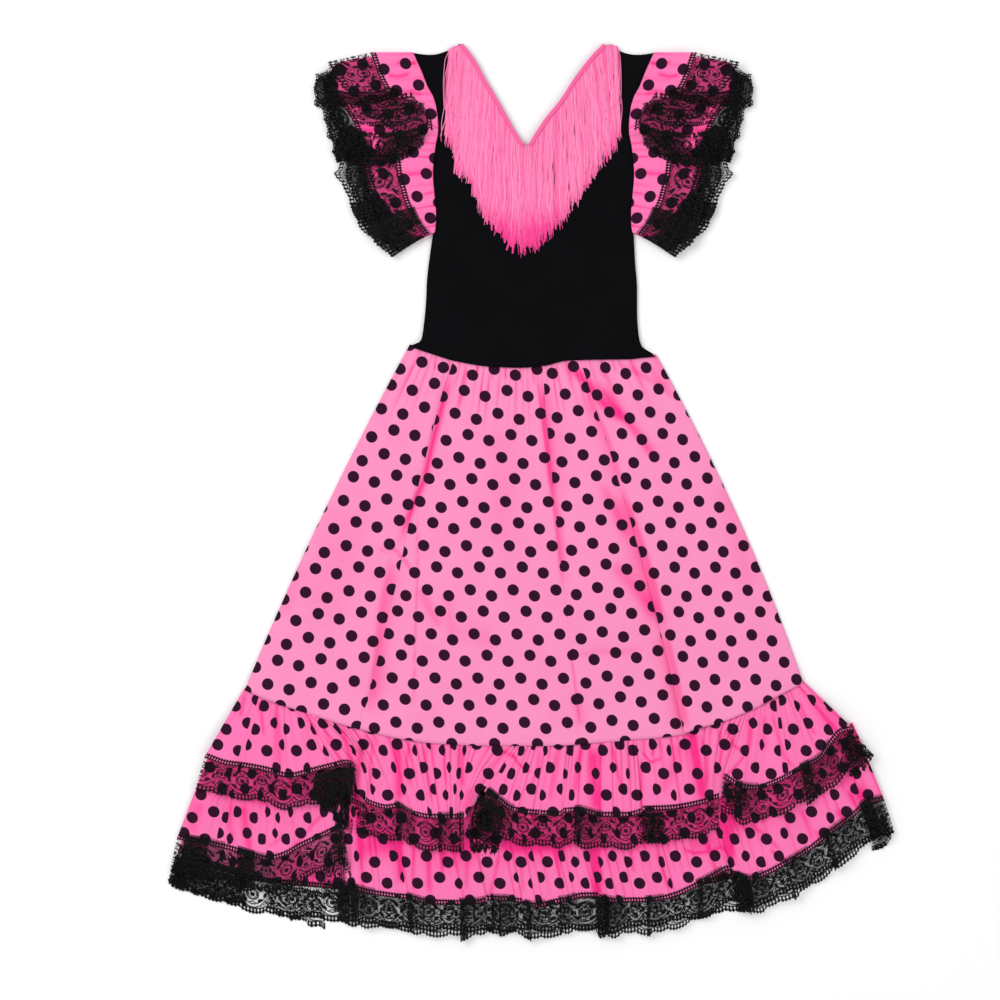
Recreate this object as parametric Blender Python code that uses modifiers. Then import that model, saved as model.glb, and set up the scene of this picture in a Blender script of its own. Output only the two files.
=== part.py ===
"""Flamenco dress for a child, laid flat on its back: knitted bodice with a fringed neck,
short sleeves of two gathered ruffles, and a long skirt with two gathered flounces, all
edged with lace.

The dress lies on the plane z = 0 with its front up. +X is the viewer's right and +Y runs
to the neck. Tables and constants are in millimetres, and objects are built in metres.
Every panel is an open sheet of points that Solidify makes into a wall."""

import bmesh
import bpy
import numpy as np
from mathutils import Vector

MM = 0.001
DRESS = "flamenco_dress"

CLOTH = 1.1  # wall of the cotton panels and ruffles
KNIT = 1.2  # wall of the bodice
NET = 1.0  # wall of the lace
GAP = 0.45  # clear space between layers
SEAM = 0.3  # clear space between lace and the hem it edges
CURVED_SEAM = 1.2  # the same where a curved seam joins unlike grids
LAP = 2.5  # how far a gathered edge runs up under the piece it is sewn to
COLUMN = 9.0  # grid spacing along a hem

LACE_DROP = 29.0  # how far lace hangs past the hem, to the dip between two scallops
SCALLOP = 4.0  # depth of one scallop
SLOT = (20.0, 25.0)  # the open crescent above each scallop, from and to, past the hem
COLUMNS_PER_SCALLOP = 3

PINK = (0.91, 0.13, 0.40)
FRINGE_PINK = (0.93, 0.20, 0.42)
BLACK = (0.012, 0.012, 0.014)


def table(names, *rows):
    """Columns by name, from rows of numbers."""
    return dict(zip(names.split(), np.array(rows, float).T))


# Seams that two pieces share, from the left of the dress to the right.
WAIST = table(
    "x y",
    (-119, 146), (-99, 139.5), (-75, 132), (-37, 126), (-10, 125), (15, 127),
    (37, 132), (62, 133), (99, 133.5), (114, 135), (127, 136),
)
SKIRT_SEAM = table(
    "x y",
    (-284, -197), (-256, -209), (-223, -220), (-183, -232), (-147, -242), (-110, -249),
    (-50, -252.5), (17, -252.5), (96, -247), (139, -245), (165, -236), (194, -228),
    (217, -220), (237, -209), (261, -196), (274, -190),
)
FLOUNCE_SEAM = table(
    "x y",
    (-316, -252), (-279, -264), (-229, -272), (-180, -285), (-129, -302), (-69, -311),
    (1, -310), (71, -312), (131, -305), (191, -295), (241, -277), (291, -255), (323, -229),
)

# Ruled panels: each row joins a place on the top seam to a place on the hem. bow bends
# the line between them sideways, fan leans the lace below it, and lift raises a fold.
SKIRT_FRONT = table(
    "top x y bow lift",
    (-119, -284, -197, -6, 0), (-107, -258, -208, -4, 1.2), (-96, -222, -220, -2, 0.3),
    (-86, -191, -230, 0, 1.6), (-77, -173, -235, 0, 4.2), (-74, -165, -237, 0, 0.4),
    (-65, -146, -242, 0, 0.2), (-60, -134, -244.5, 0, 1.1), (-45, -95, -250, 0, 0.2),
    (-20, -40, -252.5, 0, 0), (0, 20, -252.5, 0, 0.7), (12, 49, -251, 0, 2.4),
    (15, 54, -250.5, 0, 0.3), (32, 100, -247, 4, 0), (49, 149, -242, 6, 0.3),
    (51.5, 155, -240, 6, 5.2), (58, 168, -235, 6, 4.0), (74, 192, -229, 6, 1.4),
    (95, 226, -215, 7, 0.4), (112, 250, -202, 8, 1.0), (127, 274, -190, 9, 0),
)
UPPER_FRONT = table(
    "top x y fan lift bow",
    (-284, -324, -264, -8, 0, 0), (-274, -303, -271, -3, 1.5, 0),
    (-266, -286, -273.5, 0, 0.4, 0), (-254, -261, -278, 0, 2.4, 0),
    (-244, -239, -284, 0, 0.6, 0), (-235, -217, -279, 0, 2.6, 0),
    (-228, -194, -273, 2, 3.2, 0), (-224, -179, -269.5, 3, 4.6, 0),
    (-222, -172, -271, 0, 5.0, 0), (-219, -166, -304, 0, 0, 19), (-207, -160, -310, 0, 0.8, 15),
    (-179, -141, -315, 0, 2.2, 5), (-161, -129, -313.5, 0, 0.2, 1),
    (-141, -116, -321, 0, 1.4, 0), (-116, -99, -324.5, 0, 2.4, 0), (-74, -76, -325, 0, 0.8, 0),
    (-39, -65, -324, 0, 1.2, -6), (-17, -57.5, -313, 0, 0, -10),
    (-14, -49.5, -296, -8, 5.0, 0), (-5, -33, -306, -5, 4.6, 0), (5, -17, -317, 0, 3.0, 0),
    (21, 8, -321, 0, 1.0, 0), (37, 30, -322, 0, 2.2, 0), (42, 35, -319, 0, 0, 0),
    (54, 50, -318, 0, 2.4, 0), (73, 72, -323, 0, 0.6, 0), (93, 96, -323, 0, 2.0, 0),
    (106, 110, -320, 0, 0, 0), (109, 113, -317, 0, 4.0, 0), (131, 139.5, -316, 0, 2.2, 0),
    (151, 161, -313, 0, 0.8, 0), (171, 177, -309, 0, 2.4, -1), (195, 184, -306, 0, 1.2, -4),
    (213, 189.5, -304, 0, 0, -7), (216, 192.5, -284, -2, 5.0, 0), (226, 211, -294, 0, 4.2, 0),
    (234, 226, -296, 0, 2.4, 0), (244, 248, -289, 2, 0.8, 0), (252, 270, -277, 5, 2.6, 0),
    (259, 291, -266, 8, 1.0, 0), (264, 300, -252.5, 12, 2.6, 0),
    (269, 313, -238.5, 15, 1.0, 0), (274, 324, -236, 17, 0, 0),
)
LOWER_FRONT = table(
    "top x y fan lift bow",
    (-316, -352, -346, -6, 0, 0), (-301, -328, -350, -3, 2.0, 0), (-286, -303, -356, 0, 0.6, 0),
    (-273, -281, -362, 0, 2.6, 0), (-261, -261, -367, 2, 1.0, 0), (-249, -245, -363, 4, 3.2, 0),
    (-235, -228, -354, 6, 1.6, 0), (-221, -211, -346, 4, 3.4, 0), (-207, -195, -338, 3, 3.8, 0),
    (-195, -187, -334, 1, 4.8, 0), (-189, -183, -335, 0, 5.0, 0),
    (-186, -180.5, -393, 0, 0, 3), (-176, -169, -398, 0, 1.2, 0), (-151, -137, -404, 0, 3.0, 0),
    (-136, -119, -406, 0, 0.6, 0), (-121, -101, -410, 0, 3.2, 0), (-105, -84, -411, 0, 0.8, 0),
    (-89, -66, -411, 0, 3.4, 0), (-76, -54, -411, 0, 1.0, 0), (-63, -42, -408.5, 0, 3.2, 0),
    (-60, -39, -407, 0, 0.4, 0), (-45, -25, -407, 0, 3.2, 0), (-29, -10, -409.5, 0, 1.0, 0),
    (-26, -5.5, -411, 0, 3.4, 0), (-13, 8, -414, 0, 2.0, 0), (1, 24, -411, 0, 0.6, 0),
    (16, 40, -407.5, 0, 3.4, 0), (30, 54, -404, 0, 1.0, 0), (45, 70, -403.5, 0, 3.6, 0),
    (48, 73, -406, 0, 0.2, 0), (64, 88, -409, 0, 3.2, 0), (79, 103, -409, 0, 0.8, 0),
    (93, 118, -408.5, 0, 3.4, 0), (107, 133, -407, 0, 1.0, 0), (121, 147, -403, 0, 3.2, 0),
    (135, 161, -397, 0, 0.6, 0), (157, 183, -385, 2, 2.2, 0), (176, 200.5, -377, 4, 0, 0),
    (180, 205, -381, 5, 5.0, 0), (193, 222, -387, 6, 3.6, 0), (208, 237, -382, 6, 1.0, 0),
    (230, 259, -370, 8, 3.2, 0), (251, 280.5, -358, 8, 0.8, 0), (273, 302, -340, 9, 3.2, 0),
    (286, 315, -331, 10, 0.6, 0), (297, 326, -322, 10, 2.4, 0), (311, 339, -311, 10, 0.8, 0),
    (323, 355, -307, 9, 0, 0),
)
# Where folds hide the lace: the seam places of the rows that end and begin a stretch.
UPPER_BREAKS = ((-222, -219), (-39, -14), (213, 216))
LOWER_BREAKS = ((-189, -186),)
SLEEVE_BREAKS = ((405, 396), (359, 347))
LOWER_BACK = table(
    "top x y fan lift",
    (-316, -351, -359, -10, 0), (-279, -322, -371, -6, 0), (-229, -272, -388, 0, 0),
    (-180, -184, -397, 0, 0), (-129, -110, -405, 0, 0), (-69, -43, -407, 0, 0),
    (1, 24, -406, 0, 0), (71, 96, -404, 0, 0), (131, 157, -395, 3, 0),
    (191, 220, -381, 6, 0), (241, 271, -360, 8, 0), (291, 321, -323, 10, 0),
    (323, 353, -307, 9, 0),
)
UPPER_BACK = table(
    "top x y fan lift",
    (-284, -322, -265, -8, 0), (-223, -238, -286, 0, 0), (-147, -150, -308, 0, 0),
    (-50, -60, -322, 0, 0), (17, 10, -320, 0, 0), (96, 96, -321, 0, 0),
    (165, 178, -308, 2, 0), (217, 246, -288, 4, 0), (274, 322, -237, 14, 0),
)

# The left half of the neckline and shoulder, then the right half: level by level down.
NECK = table(
    "y left right",
    (449, -66, 74), (433, -54, 59), (413, -43, 44), (393, -31, 31), (373, -20, 15),
    (353, -8, 2), (346, -2, -2),
)
LEFT_EDGE = table(
    "y x",
    (440, -117), (420, -108), (405, -102), (396, -97), (383, -93.5), (363, -92), (343, -95),
    (318, -97), (298, -95.5), (280, -94), (265, -94.5), (258, -96), (238, -99), (213, -102),
    (193, -103), (173, -105), (155, -108), (146, -119),
)
RIGHT_EDGE = table(
    "y x",
    (440, 126), (420, 117), (405, 111), (396, 106), (383, 102.5), (363, 101), (343, 104),
    (318, 106), (298, 104.5), (280, 103), (265, 103.5), (258, 104.5), (231, 106), (203, 108),
    (183, 108), (163, 109), (148, 112), (136, 127),
)
MIRROR_X = 4.5  # the sleeves are alike on both sides of this line

# Left sleeve ruffles: arm is a height on the armhole, x and y the cloth's hem there, and
# edge_x and edge_y the end of its lace.
SLEEVE_UPPER_FRONT = table(
    "arm x y edge_x edge_y lift",
    (440, -158, 439, -195, 431, 2.5), (431, -154, 427, -194, 421, 3.5),
    (418, -149, 413, -187, 408, 3.0), (405, -143, 402, -173, 398, 5.0),
    (402, -140, 398, -167, 389, 0), (396, -131, 394.5, -163, 381, 0.8),
    (388, -117, 390, -147, 371, 2.6), (378, -107, 383, -136, 362, 3.0),
    (368, -102, 372, -129, 352, 4.2), (359, -101, 363, -124, 342, 4.6),
    (355, -108, 356.5, -142, 341, 0), (347, -122, 349, -158, 334, 0.8),
    (338, -134, 340, -171, 327, 2.4), (328, -133, 327, -169, 314, 0.4),
    (318, -131, 313, -168, 301, 2.2), (308, -128, 303, -164, 290, 0.4),
    (298, -125, 292, -161, 278, 2.4), (288, -121, 283, -156, 268, 0.4),
    (278, -117, 274, -151, 257, 2.0), (260, -104, 256, -135, 236, 0.2),
)
SLEEVE_LOWER_FRONT = table(
    "arm x y edge_x edge_y lift",
    (440, -188, 431, -196, 427, 0.3), (431, -197, 423, -207, 418, 1.8),
    (418, -199, 411, -213, 406, 0.4), (403, -196, 398, -211, 392, 2.0),
    (393, -189, 390, -202, 383, 0.4), (378, -177, 373, -199, 365, 2.0),
    (363, -171, 358, -195, 351, 0.4), (348, -167, 343, -191, 337, 2.0),
    (335, -165, 330, -188, 327, 0.4), (323, -163, 318, -191, 319, 2.0),
    (308, -158, 303, -183, 303, 0.4), (293, -149, 288, -174, 284, 2.0),
    (280, -139, 273, -165, 268, 0.4), (270, -128, 261, -150, 250, 1.8),
    (260, -115, 250, -135, 237, 0.2),
)
SLEEVE_UPPER_BACK = table(
    "arm x y edge_x edge_y lift",
    (440, -157, 438, -189, 429, 0), (418, -150, 413, -182, 403, 0),
    (396, -140, 390, -174, 378, 0), (363, -136, 356, -170, 346, 0),
    (343, -136, 338, -170, 328, 0), (318, -135, 311, -168, 299, 0),
    (293, -128, 285, -160, 268, 0), (260, -108, 254, -134, 239, 0),
)
SLEEVE_LOWER_BACK = table(
    "arm x y edge_x edge_y lift",
    (440, -176, 434, -193, 427, 0), (418, -188, 411, -210, 405, 0),
    (396, -183, 388, -205, 382, 0), (363, -167, 356, -194, 350, 0),
    (343, -163, 338, -190, 333, 0), (318, -160, 311, -187, 309, 0),
    (293, -150, 285, -174, 280, 0), (260, -116, 250, -134, 238, 0),
)

# The fringe: x and y of the tips, from the shoulder to the middle.
FRINGE_LEFT = table(
    "x y",
    (-83, 353), (-71, 327), (-62, 318), (-53, 297), (-42, 275), (-33, 264), (-19, 246),
    (-3.2, 240),
)
FRINGE_RIGHT = table(
    "x y",
    (90, 360), (80, 336), (69, 327), (54, 301), (39, 277), (23, 260), (11, 249), (-1, 241),
)
LOCKS = 32
LOCK_WIDTH = 1.0  # at the root
TIP_WIDTH = 0.7
LOCK_THICK = 0.9
TURN = 6.0  # how far below its root a lock has turned straight down
SPLAY = 0.06  # share of its way sideways that it has gone there
BRAID = 7.0
BRAID_THICK = 1.5
BRAID_ENDS = (2.0, 4.0)  # what it leaves free of the neckline above and below
SHOULDER_DIP = 6.0

# Heights of each layer's lower face above the floor.
ON_BACK = CLOTH + GAP  # on one layer of cloth that lies on the floor
LAPPED = 2 * ON_BACK + GAP  # on two of them, and their gathers
BODICE_FRONT_Z = KNIT + GAP
FRINGE_Z = BODICE_FRONT_Z + KNIT + GAP
UPPER_HEM_Z = 7.0
SLEEVE_UPPER_FRONT_Z = (4.9, 7.2)  # at the armhole and at the hem


def smooth(knots, values, at):
    """A curve through the values that never passes beyond them."""
    if knots[0] > knots[-1]:
        knots, values = knots[::-1], values[::-1]
    width = np.diff(knots)
    slope = np.diff(values) / width
    rising = slope[:-1] * slope[1:] > 0
    both = np.where(rising, slope[:-1] + slope[1:], 1.0)
    inner = np.where(rising, 2 * slope[:-1] * slope[1:] / both, 0.0)
    tangent = np.concatenate([slope[:1], inner, slope[-1:]])
    cell = np.clip(np.searchsorted(knots, at, side="right") - 1, 0, len(width) - 1)
    t = np.clip((at - knots[cell]) / width[cell], 0, 1)
    start, end = values[cell], values[cell + 1]
    bend = t * (1 - t) * width[cell]
    return (
        start + (end - start) * t * t * (3 - 2 * t)
        + bend * ((1 - t) * tangent[cell] - t * tangent[cell + 1])
    )


def ease(t):
    """0 to 1, level at both ends."""
    t = np.clip(t, 0, 1)
    return t * t * (3 - 2 * t)


def lerp(start, end, share):
    return start + (end - start) * share


class Panel:
    """A sheet ruled from a seam to a hem. Its places are (column, share): the column
    counts along the hem, and the share is 0 at the seam and 1 at the hem."""

    def __init__(self, rows, seam, base, gather=0.0, wave=0.0, column=COLUMN):
        self.rows, self.seam, self.base = rows, seam, base
        self.gather, self.wave = gather, wave
        self.run, hem_run = ("top", "x") if "top" in rows else ("arm", "y")
        wide = np.maximum(np.abs(np.diff(rows[self.run])), np.abs(np.diff(rows[hem_run])))
        cells = np.maximum(np.round(wide / column), 1)
        self.knots = np.concatenate([[0], np.cumsum(cells)])
        self.columns = int(self.knots[-1])

    def row(self, name, column):
        return smooth(self.knots, self.rows[name], column)

    def at(self, column, share):
        """x, y and z of the panel's lower face."""
        top_x, top_y = self.seam(self, column)
        x = lerp(top_x, self.row("x", column), share)
        y = lerp(top_y, self.row("y", column), share)
        if "bow" in self.rows:
            x = x + self.row("bow", column) * 4 * share * (1 - share)
        fold = self.row("lift", column) * np.clip(share, 0, 1) ** 1.3
        fine = np.sin(np.pi * column / 2) ** 2 * (0.8 + 0.2 * np.sin(1.7 * column))
        broad = np.sin(np.pi * column / 7 + 0.8 * np.sin(0.31 * column)) ** 2
        fade = ease(share / 0.15) * (1 - 0.75 * ease((share - 0.15) / 0.7))
        z = self.base(share) + fold + self.gather * fine * fade
        return np.stack([x, y, z + self.wave * broad * ease(share)], axis=-1)

    def lace_at(self, column, past):
        """The same face carried on past its hem by so many millimetres."""
        hem = self.at(column, np.ones_like(column))
        top = self.at(column, np.zeros_like(column))
        depth = np.hypot(*(hem - top)[..., :2].T).T
        inside = self.at(column, 1 + np.minimum(past, 0) / depth)
        if "edge_x" in self.rows:
            reach = np.stack([self.row("edge_x", column), self.row("edge_y", column)], axis=-1)
            step = (reach - hem[..., :2]) / LACE_DROP
        else:
            lean = self.row("fan", column) / LACE_DROP
            step = np.stack([lean, -np.sqrt(1 - lean**2)], axis=-1)
        outside = np.maximum(past, 0)[..., None] * step
        return np.concatenate([inside[..., :2] + outside, inside[..., 2:]], axis=-1)


def along(seam_table, drop=0.0):
    """The x places of a seam that runs across the dress."""

    def seam(panel, column):
        x = panel.row("top", column)
        return x, smooth(seam_table["x"], seam_table["y"], x) - drop

    return seam


def armhole(panel, column):
    y = panel.row("arm", column)
    return smooth(LEFT_EDGE["y"], LEFT_EDGE["x"], y) - CURVED_SEAM, y


def slope(start, end, begin=0.0, by=1.0):
    """Goes from start to end between the two shares, and is level outside them."""
    return lambda share: lerp(start, end, ease((share - begin) / (by - begin)))


def material(name, colour, roughness):
    made = bpy.data.materials.new(name)
    made.use_nodes = True
    shader = made.node_tree.nodes["Principled BSDF"]
    shader.inputs["Base Color"].default_value = (*colour, 1)
    shader.inputs["Roughness"].default_value = roughness
    shader.inputs["Metallic"].default_value = 0.0
    return made


def add_object(name, bm, colour, roughness=0.8):
    mesh = bpy.data.meshes.new(name)
    bm.to_mesh(mesh)
    bm.free()
    made = bpy.data.objects.new(name, mesh)
    mesh.materials.append(material(name, colour, roughness))
    bpy.data.collections[DRESS].objects.link(made)
    return made


def add_wall(name, bm, colour, thickness):
    """An object whose open sheet Solidify thickens on its upper side. Triangles first,
    so that both sides of a twisted cell bend along the same diagonal."""
    bmesh.ops.triangulate(bm, faces=bm.faces[:], quad_method="SHORT_EDGE")
    made = add_object(name, bm, colour)
    wall = made.modifiers.new("Wall", "SOLIDIFY")
    wall.thickness = thickness * MM
    wall.offset = 1
    return made


def grid(columns, levels, first=0):
    """A grid whose vertices hold their places: column across and row down."""
    bm = bmesh.new()
    rows = len(levels) - 1
    bmesh.ops.create_grid(bm, x_segments=columns, y_segments=rows, size=1)
    for vert in bm.verts:
        vert.co.x = first + round((vert.co.x + 1) / 2 * columns)
        vert.co.y = round((1 - vert.co.y) / 2 * rows)
    return bm


def place(bm, levels, surface, mirror=False):
    """Moves the grid's vertices onto the surface."""
    cells = np.array([vert.co.xy for vert in bm.verts])
    depth = np.array(levels)[cells[:, 1].astype(int)]
    points = surface(cells[:, 0], depth)
    if mirror:
        points = points * (-1, 1, 1) + (2 * MIRROR_X, 0, 0)
        bmesh.ops.reverse_faces(bm, faces=bm.faces[:])
    for vert, point in zip(bm.verts, points):
        vert.co = Vector(point) * MM
    return bm


def cloth(name, panel, levels, mirror=False):
    bm = place(grid(panel.columns, levels), levels, panel.at, mirror)
    return add_wall(name, bm, PINK, CLOTH)


def in_slot(face, first):
    """Whether a lace cell lies in the open crescent above its scallop."""
    column, row = face.calc_center_median().xy
    step = (column - first) % COLUMNS_PER_SCALLOP
    return 1 < row < 2 and 1 < step < COLUMNS_PER_SCALLOP - 1


def lace(name, panel, mirror=False, first=0, last=None):
    """Lace along a panel's hem, from its first column to its last."""
    levels = [SEAM, SLOT[0], SLOT[1], LACE_DROP]
    last = panel.columns if last is None else last

    def scalloped(column, past):
        bulge = SCALLOP * np.abs(np.sin(np.pi * (column - first) / COLUMNS_PER_SCALLOP))
        return panel.lace_at(column, np.where(past >= LACE_DROP, past + bulge, past))

    bm = grid(last - first, levels, first)
    slots = [face for face in bm.faces if in_slot(face, first)]
    bmesh.ops.delete(bm, geom=slots, context="FACES")
    place(bm, levels, scalloped, mirror)
    return add_wall(name, bm, BLACK, NET)


def lace_stretches(name, panel, breaks, mirror=False):
    """The lace of a hem that folds hide at the breaks: a piece for each stretch."""
    rows = [int(np.argmin(np.abs(panel.rows[panel.run] - place))) for place in np.ravel(breaks)]
    ends = [0, *[int(panel.knots[row]) for row in rows], panel.columns]
    for number in range(len(ends) // 2):
        first, last = ends[2 * number : 2 * number + 2]
        lace(f"{name}_{number + 1}", panel, mirror, first, last)


FLOOR = slope(0, 0)

# Bodice


def neck_point(side, y, wider=0.0):
    """The neckline's x on one side at height y."""
    sign = -1 if side == "left" else 1
    return smooth(NECK["y"], NECK[side], y) + sign * wider


def bodice_half(bm, side, base, wider, hem_gap):
    """One half of a bodice panel, from its outer edge to the neck and the centre."""
    edge = LEFT_EDGE if side == "left" else RIGHT_EDGE
    point_y = NECK["y"][-1] - 2 * wider
    inner_top = NECK["y"][0]
    waist_x = NECK["left"][-1]
    waist_y = smooth(WAIST["x"], WAIST["y"], np.array(waist_x))
    split = (inner_top - point_y) / (inner_top - waist_y)
    levels = np.concatenate([np.linspace(0, split, 9), np.linspace(split, 1, 10)[1:]])
    across = 5
    half = grid(across, levels)

    def surface(cell, share):
        t = cell / across
        outer_y = lerp(edge["y"][0], edge["y"][-1], share)
        outer_x = smooth(edge["y"], edge["x"], outer_y)
        inner_y = lerp(inner_top, waist_y, share)
        open_neck = inner_y > point_y + 0.01
        inner_x = np.where(open_neck, neck_point(side, inner_y, wider), waist_x)
        x = lerp(outer_x, inner_x, t)
        y = lerp(outer_y, inner_y, t)
        hem = smooth(WAIST["x"], WAIST["y"], x) + hem_gap
        y = y + (hem - lerp(edge["y"][-1], waist_y, t)) * ease((share - 0.7) / 0.3)
        y = y - SHOULDER_DIP * np.sin(np.pi * t) * (1 - ease(share / 0.15))
        return np.stack([x, y, base(share) + 0 * x], axis=-1)

    place(half, levels, surface)
    if side == "right":
        bmesh.ops.reverse_faces(half, faces=half.faces[:])
    mesh = bpy.data.meshes.new("half")
    half.to_mesh(mesh)
    half.free()
    bm.from_mesh(mesh)
    bpy.data.meshes.remove(mesh)


def bodice(name, base, wider=0.0, hem_gap=0.0):
    """A knitted panel whose halves meet below the point of the neck."""
    bm = bmesh.new()
    for side in ("left", "right"):
        bodice_half(bm, side, base, wider, hem_gap)
    bmesh.ops.remove_doubles(bm, verts=bm.verts[:], dist=0.01 * MM)
    return add_wall(name, bm, BLACK, KNIT)


def fringe(name, side, tips):
    """A braid on one side of the neck with locks that hang from its outer edge."""
    sign = -1 if side == "left" else 1
    start, end = NECK["y"][0] - BRAID_ENDS[0], NECK["y"][-1] + BRAID_ENDS[1]
    levels = [0.0, 1.0]

    def surface(cell, across):
        y = lerp(start, end, cell / LOCKS)
        x = neck_point(side, y)
        slant = np.gradient(neck_point(side, np.array([y + 1, y - 1])), axis=0)[0] / -2
        normal = np.stack([np.full_like(y, sign), sign * slant], axis=-1)
        normal /= np.linalg.norm(normal, axis=-1, keepdims=True)
        x, y = np.stack([x, y]) + normal.T * BRAID * across
        return np.stack([x, y, FRINGE_Z + 0 * x], axis=-1)

    bm = place(grid(LOCKS, levels), levels, surface)
    if side == "right":
        bmesh.ops.reverse_faces(bm, faces=bm.faces[:])
    bmesh.ops.solidify(bm, geom=bm.faces[:], thickness=-BRAID_THICK * MM)
    bmesh.ops.recalc_face_normals(bm, faces=bm.faces[:])
    bm.normal_update()
    roots = [
        face
        for face in bm.faces
        if abs(face.normal.z) < 0.5 and face.normal.x * sign > 0.3 and face.normal.y < 0.4
        and abs(face.normal.x) > abs(face.normal.y) * 0.9
    ]
    roots.sort(key=lambda face: -face.calc_center_median().y)
    for step in (0, 1):
        roots = bmesh.ops.extrude_discrete_faces(bm, faces=roots)["faces"]
        roots.sort(key=lambda face: -face.calc_center_median().y)
        for number, face in enumerate(roots):
            shape_lock(face, (number + 0.5) / LOCKS, tips, step)
    return add_object(name, bm, FRINGE_PINK)


def shape_lock(face, share, tips, step):
    """Moves the end of one lock: first just below its root, then to its tip."""
    centre = face.calc_center_median()
    knots = np.linspace(0, 1, len(tips["x"]))
    tip_x = float(smooth(knots, tips["x"], np.array(share)))
    tip_y = float(smooth(tips["x"], tips["y"], np.array(tip_x)))
    ragged = 5 * np.sin(share * 97) + 3 * np.sin(share * 41)
    x, y, half = tip_x, tip_y + ragged, TIP_WIDTH / 2
    if step == 0:
        x = lerp(centre.x / MM, tip_x, SPLAY)
        y = centre.y / MM - TURN
        half = LOCK_WIDTH / 2
    for vert in face.verts:
        right = vert.co.x > centre.x
        upper = vert.co.z > centre.z
        vert.co.x = (x + (half if right else -half)) * MM
        vert.co.y = y * MM
        vert.co.z = (FRINGE_Z + (LOCK_THICK if upper else 0)) * MM


# Skirt and flounces


def skirt():
    hem_lap = slope(ON_BACK, LAPPED, 0.88)
    front = Panel(SKIRT_FRONT, along(WAIST, -LAP), hem_lap, gather=0.8, column=17)
    cloth("skirt_front", front, [0, 0.1, 0.34, 0.6, 0.85, 0.92, 1])
    flat = {**SKIRT_FRONT, "lift": 0 * SKIRT_FRONT["lift"]}
    back = Panel(flat, along(WAIST), FLOOR, column=34)
    cloth("skirt_back", back, [0, 0.33, 0.67, 1])


def flounces():
    tucked, below = along(SKIRT_SEAM, -LAP), along(SKIRT_SEAM, CURVED_SEAM)
    lower_seam = along(FLOUNCE_SEAM)
    upper = Panel(UPPER_FRONT, tucked, slope(ON_BACK, UPPER_HEM_Z, 0, 0.74), 1.6, 1.6)
    lower_base = slope(2 * ON_BACK, ON_BACK, 0.6, 0.9)
    lower = Panel(LOWER_FRONT, lower_seam, lower_base, 1.0, 1.6)
    cloth("upper_flounce_front", upper, [0, 0.2, 0.7, 1])
    cloth("lower_flounce_front", lower, [0, 0.25, 0.65, 1])
    lace_stretches("upper_lace_front", upper, UPPER_BREAKS)
    lace_stretches("lower_lace_front", lower, LOWER_BREAKS)

    upper_back = Panel(UPPER_BACK, below, FLOOR, column=14)
    lower_back = Panel(LOWER_BACK, lower_seam, slope(ON_BACK, 0, 0.6, 0.85), column=14)
    cloth("upper_flounce_back", upper_back, [0, 1])
    cloth("lower_flounce_back", lower_back, [0, 0.58, 0.86, 1])
    lace("upper_lace_back", upper_back)
    lace("lower_lace_back", lower_back)


def sleeve(side):
    """Two ruffles sewn round the armhole, each in a front and a back half."""
    flip = side == "right"
    layers = (
        ("upper", "front", SLEEVE_UPPER_FRONT, slope(*SLEEVE_UPPER_FRONT_Z)),
        ("lower", "front", SLEEVE_LOWER_FRONT, slope(2 * ON_BACK, 2 * ON_BACK)),
        ("upper", "back", SLEEVE_UPPER_BACK, FLOOR),
        ("lower", "back", SLEEVE_LOWER_BACK, slope(ON_BACK, ON_BACK)),
    )
    for tier, face, rows, base in layers:
        front = face == "front"
        name = f"sleeve_{side}_{tier}"
        panel = Panel(rows, armhole, base, 0.5 if front else 0, column=12)
        cloth(f"{name}_ruffle_{face}", panel, [0, 0.2, 0.6, 1] if front else [0, 1], flip)
        if rows is SLEEVE_UPPER_FRONT:
            lace_stretches(f"{name}_lace_{face}", panel, SLEEVE_BREAKS, flip)
        else:
            lace(f"{name}_lace_{face}", panel, flip)


def build():
    for old in list(bpy.data.objects):
        bpy.data.objects.remove(old, do_unlink=True)
    dress = bpy.data.collections.new(DRESS)
    bpy.context.scene.collection.children.link(dress)
    bodice("bodice_back", FLOOR, wider=3, hem_gap=CURVED_SEAM)
    bodice("bodice_front", slope(BODICE_FRONT_Z, LAPPED, 0.85))
    fringe("neck_fringe_left", "left", FRINGE_LEFT)
    fringe("neck_fringe_right", "right", FRINGE_RIGHT)
    skirt()
    flounces()
    for side in ("left", "right"):
        sleeve(side)


build()
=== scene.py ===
import bmesh, bpy
import numpy as np
from math import pi, radians
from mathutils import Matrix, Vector


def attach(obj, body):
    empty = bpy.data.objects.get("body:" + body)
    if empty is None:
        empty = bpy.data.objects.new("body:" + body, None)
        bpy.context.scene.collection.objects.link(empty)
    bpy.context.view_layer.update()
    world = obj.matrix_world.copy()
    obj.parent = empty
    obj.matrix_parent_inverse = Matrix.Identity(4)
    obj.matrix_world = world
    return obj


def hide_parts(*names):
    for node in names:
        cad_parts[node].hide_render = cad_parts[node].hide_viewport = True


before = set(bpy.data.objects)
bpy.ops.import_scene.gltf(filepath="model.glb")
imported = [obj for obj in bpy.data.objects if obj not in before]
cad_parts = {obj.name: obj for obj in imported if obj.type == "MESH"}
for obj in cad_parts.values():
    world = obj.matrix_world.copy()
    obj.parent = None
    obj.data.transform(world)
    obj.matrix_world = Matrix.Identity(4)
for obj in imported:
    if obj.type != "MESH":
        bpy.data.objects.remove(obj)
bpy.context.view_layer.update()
mm = 0.001
dice = np.random.default_rng(11)
print("frame loaded")

# a child's flamenco dress laid flat, front up: +x is the viewer's right and +y runs to the neck
# tables are in millimetres, meshes in metres


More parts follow.
